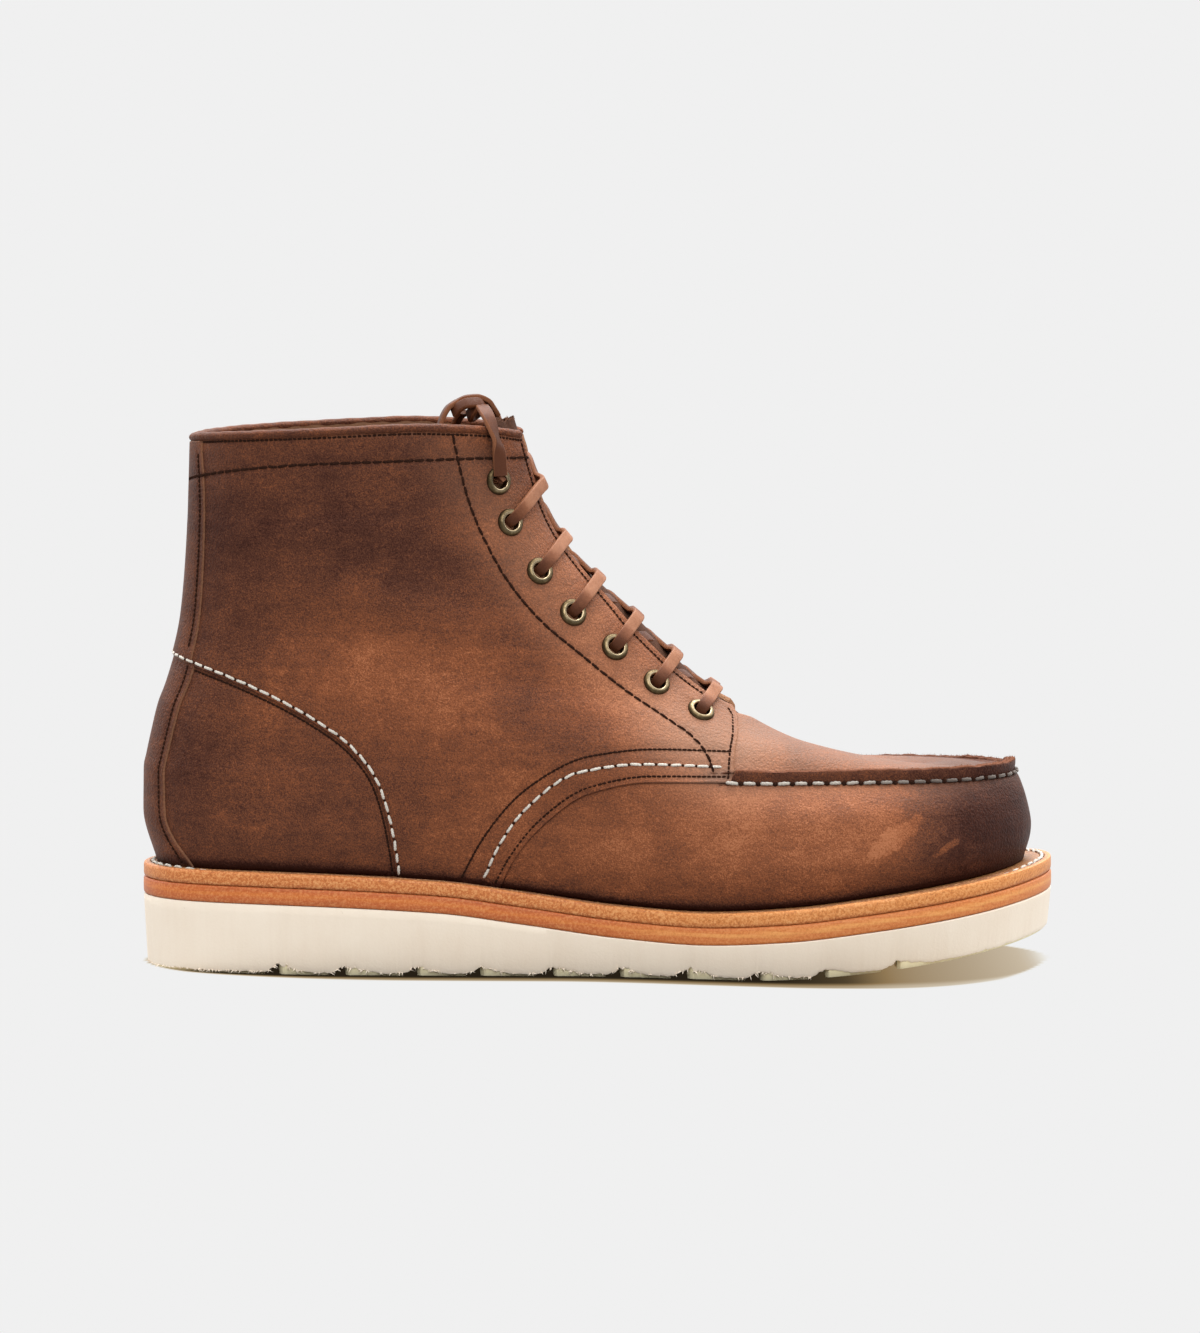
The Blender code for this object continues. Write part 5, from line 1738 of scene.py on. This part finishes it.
def arc(middle_r, middle_h, radius, start, end, steps):
    """Points (r, h) on an arc between two angles in degrees."""
    angle = np.radians(np.linspace(start, end, steps))
    return [(middle_r + radius * math.cos(a), middle_h + radius * math.sin(a)) for a in angle]


# How worn the brass is, by radius; and how high its flange stands above the leather
Wear = namedtuple("Wear", "radius worn")
EYELET_WEAR = [Wear(3.2, 0.95), Wear(3.6, 0.62), Wear(4.2, 0.25), Wear(4.7, 0.15)]
EYELET_RISE = 0.35


def add_eyelets(finish):
    """Rolled brass eyelets: barrel, rounded flange and its under edge, turned about the form's normal."""
    rise = QUARTER.lift + EYELET_RISE
    profile = [(EYELET_HOLE, -WALL - SEAT), (EYELET_HOLE, rise - 0.2)]
    profile += arc(EYELET_HOLE + 0.6, rise + 0.25, 0.6, 180, 70, 7)
    profile += arc(3.3, rise - 0.45, 1.35, 62, 8, 8)
    profile += [(4.6, rise - 0.7), (3.0, rise - 0.8), (3.0, -WALL - SEAT)]
    profile = np.array(profile)
    sides = 44
    angle = 2 * np.pi * np.arange(sides) / sides
    worn = np.interp(profile[:, 0], *zip(*EYELET_WEAR)) * (profile[:, 1] > rise - 0.4)
    worn = np.tile(worn, sides)
    for number, v in enumerate(EYELET_LEVELS, start=1):
        for side, name in zip(SIDES, SIDE_NAMES):
            middle, normal = eyelet_frame(v, side)
            first = unit(np.cross(UP, normal))
            second = np.cross(normal, first)
            turn = np.cos(angle)[:, None, None] * first + np.sin(angle)[:, None, None] * second
            points = middle + profile[None, :, :1] * turn + profile[None, :, 1:] * normal
            faces = tube_faces(sides, len(profile), closed=True)
            add_piece(f"ring_{name}_{number}", points.reshape(-1, 3), faces, finish, "eyelet",
                      (f"eyelet_{name}_{number}",), sharp=60, worn=worn)


# Places along a strap: -1 at its eyelet, 0 and 1 at the throat's near and far edge, 2 at the far eyelet
LaceStation = namedtuple("LaceStation", "place lift_over lift_under width rise")
STRAP = [
    LaceStation(-1.02, -3.2, -3.2, 0.80, 0.0), LaceStation(-1.0, -1.2, -1.2, 0.82, 0.0),
    LaceStation(-0.95, 0.7, 0.7, 0.88, 0.0), LaceStation(-0.84, 1.85, 1.85, 0.95, 0.0),
    LaceStation(-0.6, 2.0, 2.0, 1.0, 0.0), LaceStation(-0.3, 1.9, 1.9, 1.0, 0.0),
    LaceStation(0.0, 2.2, 2.0, 1.0, 0.0), LaceStation(0.08, 2.5, 2.0, 1.0, 0.0),
    LaceStation(0.15, 2.2, 1.2, 1.0, 0.02), LaceStation(0.21, 1.2, 0.0, 1.0, 0.05),
    LaceStation(0.3, -0.5, -1.6, 1.0, 0.13), LaceStation(0.5, -1.5, -2.6, 1.0, 0.38),
    LaceStation(0.7, -1.9, -2.7, 1.0, 0.56), LaceStation(0.95, -3.2, -3.6, 1.0, 0.74),
    LaceStation(1.3, -3.4, -3.6, 0.95, 0.84), LaceStation(1.65, -3.4, -3.5, 0.88, 0.93),
    LaceStation(1.95, -3.5, -3.5, 0.80, 1.0),
]
THROAT_RUN = np.array([-0.79, 0.62])
TIE_TONE = -1.1
KNOT_TONE = -0.9
KNOT_NARROW = 0.82


def level_across(v, across, rise):
    """Levels at distances across where the form lies square to the throat's run, and this far up along it."""
    start = on_form(v, -eyelet_half(v), 0.0)[0][0, [0, 2]]
    low, high = np.full(len(across), v - 0.8), np.full(len(across), min(v + 1.6, MARKS[-1]))
    for _ in range(30):
        middle = (low + high) / 2
        point = on_form(middle, across, 0.0)[0][:, [0, 2]]
        past = (point - start) @ THROAT_RUN > rise
        high = np.where(past, middle, high)
        low = np.where(past, low, middle)
    return (low + high) / 2


STRAP_STEP = 0.6
STRAP_PLACES = (-1.02, -1.0, 0.0, 1.0, 2.0)

# Columns that are no lengths are scaled to count in the spacing of points along a strap
WIDTH_SCALE, RISE_SCALE = 4, 8


def strap(low, high, side):
    """One lace strap: out of an eyelet, over the throat, under the far eyestay to the next eyelet up."""
    half, edge = eyelet_half(low)[0], throat_half(low + 0.12)[0]
    stops = np.interp([row.place for row in STRAP], STRAP_PLACES, (-half - 0.2, -half, -edge, edge, half))
    lifts = [row.lift_over if side == LATERAL else row.lift_under for row in STRAP]
    rows = curve_through([(across, lift, WIDTH_SCALE * row.width, RISE_SCALE * row.rise)
                          for across, lift, row in zip(stops, lifts, STRAP)], STRAP_STEP)
    across, lift, width, share = rows.T
    across = np.where(np.abs(across) < 0.02, 0.02, across)
    ends = on_form(np.array([low, high]), -eyelet_half(np.array([low, high])), 0.0)[0][:, [0, 2]]
    pitch = (ends[1] - ends[0]) @ THROAT_RUN
    v = level_across(low, across, pitch * share / RISE_SCALE)
    path, normal = on_form(v, -side * across, lift)
    sideways, up = frames(path, normal)
    points, faces = sweep(path, sideways, up, rounded(STRAP_WIDTH, LACE_THICK), width / WIDTH_SCALE)
    section = rounded(1.0, 1.0)
    # Painted shade: the strap is darkened where it dives into its eyelet and where it runs under the far
    # eyestay
    shown = blend(-half, 6.5, across) * (1 - blend(-edge + 2.0, 5.0, across))
    tone = np.repeat(-0.9 + 1.1 * shown, len(section))
    raw = np.tile(blend(0.47, 0.02, np.abs(section[:, 0])), len(path))
    return points, faces, tone, raw


def tie_root(side):
    """The start of a tie, from inside the top eyelet up to where the free lace begins."""
    route = CORD_ROUTES["lace_tie_lateral" if side == LATERAL else "lace_tie_medial"]
    middle, normal = eyelet_frame(EYELET_LEVELS[0], side)
    path = curve_through([middle - 3.0 * normal, middle - 0.6 * normal, middle + 1.2 * normal + 1.2 * UP,
                          np.array(route[0]) + 0.02 * normal], 0.5)
    return ribbon(path, np.tile(normal + 0.4 * UP, (len(path), 1)), LACE_WIDTH * 0.9)


def add_straps(finish):
    """Crossings of the lace between the eyelet rows, the top one with the roots of the ties."""
    for number, (low, high) in enumerate(zip(EYELET_LEVELS[1:], EYELET_LEVELS), start=1):
        heap, raws = Heap(), []
        for side in SIDES:
            points, faces, tone, raw = strap(low, high, side)
            heap.add(points, faces, tone)
            raws.append(raw)
            if number == 1:
                points, faces, raw = tie_root(side)
                heap.add(points, faces, TIE_TONE)
                raws.append(raw)
        add_piece(f"lace_cross_{number}", *heap.mesh(), finish, "lace", (f"lace_crossing_{number}",), sharp=60,
                  tone=heap.value(), raw=np.concatenate(raws))


def ribbon(path, normal, width=LACE_WIDTH):
    """A flat lace along a path, its face turned to the normals."""
    across, up = frames(path, normal)
    section = rounded(width, LACE_THICK)
    points, faces = sweep(path, across, up, section)
    raw = np.tile(blend(0.44, 0.03, np.abs(section[:, 0]) / width), len(path))
    return points, faces, raw


def turned(path, spots):
    """Face directions along a path, blended between (share, direction) pairs."""
    share = np.linspace(0, 1, len(path))
    stations = [spot[0] for spot in spots]
    return unit(np.stack([smooth(stations, [spot[1][k] for spot in spots], share) for k in range(3)], axis=1))


# Directions that the lace's face turns to, by share of its length
FACES = {
    "lace_tie_lateral": [(0.0, (0.0, -1.0, 0.1)), (0.2, (0.35, -1.0, 0.1)), (0.38, (1.0, -0.3, 0.1)),
                         (0.52, (0.75, -0.65, 0.4)), (0.72, (0.3, -0.8, 0.6)), (1.0, (0.1, -0.35, 1.0))],
    "lace_tie_medial": [(0.0, (0.1, 1.0, 0.1)), (0.4, (0.3, 0.9, 0.4)), (0.7, (0.0, 0.2, 1.0)),
                        (1.0, (0.0, 0.0, 1.0))],
    "lace_end_lateral": [(0.0, (-0.5, -0.1, 1.0)), (0.3, (-1.0, -0.2, 0.4)), (1.0, (-1.0, -0.4, 0.0))],
    "lace_end_medial": [(0.0, (-0.6, 0.5, 0.6)), (0.3, (-1.0, 0.3, 0.3)), (1.0, (-1.0, 0.2, 0.0))],
}
Strand = namedtuple("Strand", "route faces")
KNOT_STRANDS = [
    Strand([(-33.6, -3.0, 184.2), (-35.2, -5.0, 186.4), (-37.0, -7.0, 188.8), (-40.0, -8.0, 190.0),
            (-43.6, -8.0, 189.7), (-46.7, -7.7, 188.4)],
           [(0.0, (1.0, 0.2, 0.4)), (0.5, (0.2, 0.0, 1.0)), (1.0, (-0.5, -0.1, 1.0))]),
    Strand([(-48.0, -9.6, 184.6), (-46.0, -11.4, 186.6), (-43.0, -12.6, 188.0), (-40.0, -12.4, 188.2),
            (-38.2, -10.4, 186.6), (-38.0, -7.0, 184.8)],
           [(0.0, (-0.6, -0.9, 0.4)), (0.5, (0.0, -0.8, 0.8)), (1.0, (0.9, -0.3, 0.3))]),
    Strand([(-38.5, -12.4, 186.8), (-40.2, -11.6, 186.4), (-42.0, -10.6, 184.9), (-42.8, -8.0, 183.4),
            (-42.0, -4.6, 183.2), (-39.6, -1.6, 185.2), (-38.6, -1.6, 187.2)],
           [(0.0, (0.1, -0.5, 1.0)), (0.5, (-0.8, -0.6, -0.2)), (1.0, (0.4, 0.9, 0.2))]),
]


def add_cords(finish):
    """Lace from the top eyelets over the collar to the knot, and its two ends down into the shaft."""
    knot, raws = Heap(), []
    for strand in KNOT_STRANDS:
        path = curve_through(strand.route, STRAP_STEP)
        points, faces, raw = ribbon(path, turned(path, strand.faces), LACE_WIDTH * KNOT_NARROW)
        knot.add(points, faces, KNOT_TONE)
        raws.append(raw)
    knot = add_piece("lace_half_knot", *knot.mesh(), finish, "lace", ("lace_knot",), sharp=60,
                     tone=knot.value(), raw=np.concatenate(raws))
    for name, route in CORD_ROUTES.items():
        path = curve_through(route, STRAP_STEP)
        points, faces, raw = ribbon(path, turned(path, FACES[name]))
        tone = TIE_TONE + 0.4 * blend(0.3, 0.3, np.linspace(0, 1, len(path)))
        piece = add_piece(name + "_strip", points, faces, finish, "lace", (name,), sharp=60, raw=raw,
                          tone=np.repeat(tone, len(raw) // len(path)))


# Stage

VIEW_WIDTH = 0.4021
IMAGE = (1200, 1333)
SENSOR_WIDTH = 36.0
CAMERA_PLACE = Vector((0.0, -2.0, 0.26))
CAMERA_AIM = Vector((0.0007, 0.0, 0.0993))
BACKGROUND = 0.871
# Painted shadow: the floor's emission colour, from the bare floor to the darkest shade at the sole's edge
FLOOR_PAINTED_SHADOW = [(0.0, (BACKGROUND,) * 3), (0.15, (0.80, 0.77, 0.70)), (0.4, (0.577, 0.485, 0.361)),
                (0.75, (0.28, 0.19, 0.09)), (1.0, (0.02, 0.014, 0.008))]
SHADOW_SOFT = 1.6

# How far the boot's painted shadow on the floor reaches in front of the sole's edge, and how dark it is
Shadow = namedtuple("Shadow", "x reach depth")
SHADOW = [
    Shadow(-153, -8, 0.4), Shadow(-146, -4, 0.8), Shadow(-136, 0, 0.95), Shadow(-122, 3, 1.0),
    Shadow(-107, 5.5, 1.0), Shadow(-65, 10, 1.0), Shadow(0, 11.5, 1.0), Shadow(50, 13, 1.0),
    Shadow(80, 16, 0.95), Shadow(98, 17, 0.72), Shadow(131, 10, 0.5), Shadow(145, -3, 0.36),
    Shadow(153, -14, 0.0),
]


def add_camera():
    """Camera at the photo's place, in front of the outer side and a little above the boot."""
    data = bpy.data.cameras.new("camera")
    data.sensor_width = SENSOR_WIDTH
    distance = (CAMERA_AIM - CAMERA_PLACE).length
    data.lens = data.sensor_width * distance / (VIEW_WIDTH * IMAGE[1] / IMAGE[0])
    camera = bpy.data.objects.new("camera", data)
    camera.location = CAMERA_PLACE
    camera.rotation_euler = (CAMERA_AIM - CAMERA_PLACE).to_track_quat("-Z", "Y").to_euler()
    bpy.context.scene.collection.objects.link(camera)
    bpy.context.scene.camera = camera


# Floor in metres: lines of its mesh far off, and its fine middle; the painted shadow's edge and core
FLOOR_FAR = (0.3, 0.6, 1.5, 4.0, 12.0)
FLOOR_FINE = 0.2
BACK_REACH = 2.0
CORE_FLOOR = 0.62
CORE_SPAN = Span(0.1, 0.75)


def add_floor(finish):
    """A large plain floor with a finer mesh around the boot; by how near the sole is, it holds the boot's
    painted shadow.
    """
    far = np.array(FLOOR_FAR)
    ticks = np.concatenate([-far[::-1], np.linspace(-FLOOR_FINE, FLOOR_FINE, 241), far])
    x, y = (axis.ravel() for axis in np.meshgrid(ticks, ticks))
    along_x, across = x / MM, y / MM - centre_y(x / MM, np.zeros_like(x))
    off_edge = np.abs(across) - half_width(SOLE, s_at_x(SOLE, along_x))
    at = np.clip(along_x, SHADOW[0].x, SHADOW[-1].x)
    reach, depth = np.where(across < 0, read(SHADOW, at, 1), BACK_REACH), read(SHADOW, at, 2)
    # Painted shadow: how far the floor's emission is darkened towards warm brown near the sole
    core = CORE_FLOOR + (1 - CORE_FLOOR) * (1 - blend(*CORE_SPAN, off_edge / np.maximum(reach, 1.0)))
    near = depth * core * (1 - blend(-SHADOW_SOFT, 2 * SHADOW_SOFT, off_edge - reach))
    near *= 1 - blend(SOLE.front_x - 1.5, 2.0, np.abs(along_x))
    mesh = bpy.data.meshes.new("floor")
    points = np.stack([x, y, np.zeros_like(x)], axis=1)
    mesh.from_pydata(points.tolist(), [], grid_cells(len(ticks), len(ticks)))
    mesh.attributes.new("near", "FLOAT", "POINT").data.foreach_set("value", near.astype(np.float32))
    mesh.materials.append(finish)
    floor = bpy.data.objects.new("floor", mesh)
    bpy.context.scene.collection.objects.link(floor)


Lamp = namedtuple("Lamp", "name toward strength angle")
LAMPS = [Lamp("key", (-0.12, 0.90, -0.80), 1.78, 40), Lamp("top", (0.0, -0.30, -1.0), 2.7, 30)]

# Sky: dim in front, as pale as the floor behind, bright above and most of all above and behind
SKY_FRONT = 0.10
SKY_TOP = 2.4
FRONT_SHARE = 0.15
LEVEL_SPAN, ABOVE_SPAN, BEHIND_SPAN = (-0.1, 0.6), (0.08, 0.6), (-0.6, 0.1)


def add_lights():
    """Two soft suns and a studio sky."""
    for lamp in LAMPS:
        data = bpy.data.lights.new(lamp.name, "SUN")
        data.energy = lamp.strength
        data.angle = math.radians(lamp.angle)
        light = bpy.data.objects.new(lamp.name, data)
        light.rotation_euler = Vector(lamp.toward).to_track_quat("-Z", "Y").to_euler()
        bpy.context.scene.collection.objects.link(light)
    world = bpy.data.worlds.new("studio")
    world.use_nodes = True
    tree = world.node_tree
    split = tree.nodes.new("ShaderNodeSeparateXYZ")
    tree.links.new(tree.nodes.new("ShaderNodeTexCoord").outputs["Generated"], split.inputs[0])
    level = sky_step(tree, split.outputs["Y"], LEVEL_SPAN, (SKY_FRONT, BACKGROUND))
    above = sky_step(tree, split.outputs["Z"], ABOVE_SPAN, (0.0, SKY_TOP))
    behind = sky_step(tree, split.outputs["Y"], BEHIND_SPAN, (FRONT_SHARE, 1.0))
    total = tree.nodes.new("ShaderNodeMath")
    total.operation = "MULTIPLY_ADD"
    for socket, source in zip(total.inputs, (above, behind, level)):
        tree.links.new(source, socket)
    tree.links.new(total.outputs[0], tree.nodes["Background"].inputs["Strength"])
    tree.nodes["Background"].inputs["Color"].default_value = (1.0, 1.0, 1.0, 1.0)
    bpy.context.scene.world = world
    bpy.context.scene.view_settings.view_transform = "Standard"


def sky_step(tree, height, span, levels):
    """Light of the sky that changes smoothly from one level to another over a span of a direction."""
    step = tree.nodes.new("ShaderNodeMapRange")
    step.interpolation_type = "SMOOTHSTEP"
    tree.links.new(height, step.inputs["Value"])
    for name, value in zip(("From Min", "From Max", "To Min", "To Max"), (*span, *levels)):
        step.inputs[name].default_value = value
    return step.outputs["Result"]


def build():
    """The whole scene. Pieces that draw random numbers keep their order."""
    rng = np.random.default_rng(SEED)
    finishes = make_finishes()
    add_camera()
    add_cords(finishes["lace"])
    add_vamp(finishes["vamp"])
    add_plug(finishes["upper"])
    add_counter(finishes["upper"])
    add_quarters(finishes["upper"])
    add_backstays(finishes["upper"])
    moc_base, moc_out = add_moc_ridge(finishes, rng)
    add_binding(finishes["upper"])
    add_lining(finishes["lining"])
    add_tongue(finishes, rng)
    add_stitching(finishes, moc_base, moc_out, rng)
    add_welt_and_midsole(finishes, rng)
    add_insole(finishes["insole"])
    add_outsole(finishes["outsole"], rng)
    add_eyelets(finishes["brass"])
    add_straps(finishes["lace"])
    add_floor(finishes["floor"])
    add_lights()
    showing = [name for name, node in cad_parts.items() if not node.hide_render]
    if showing:
        raise SystemExit(f"plain solids still show: {showing}")


build()
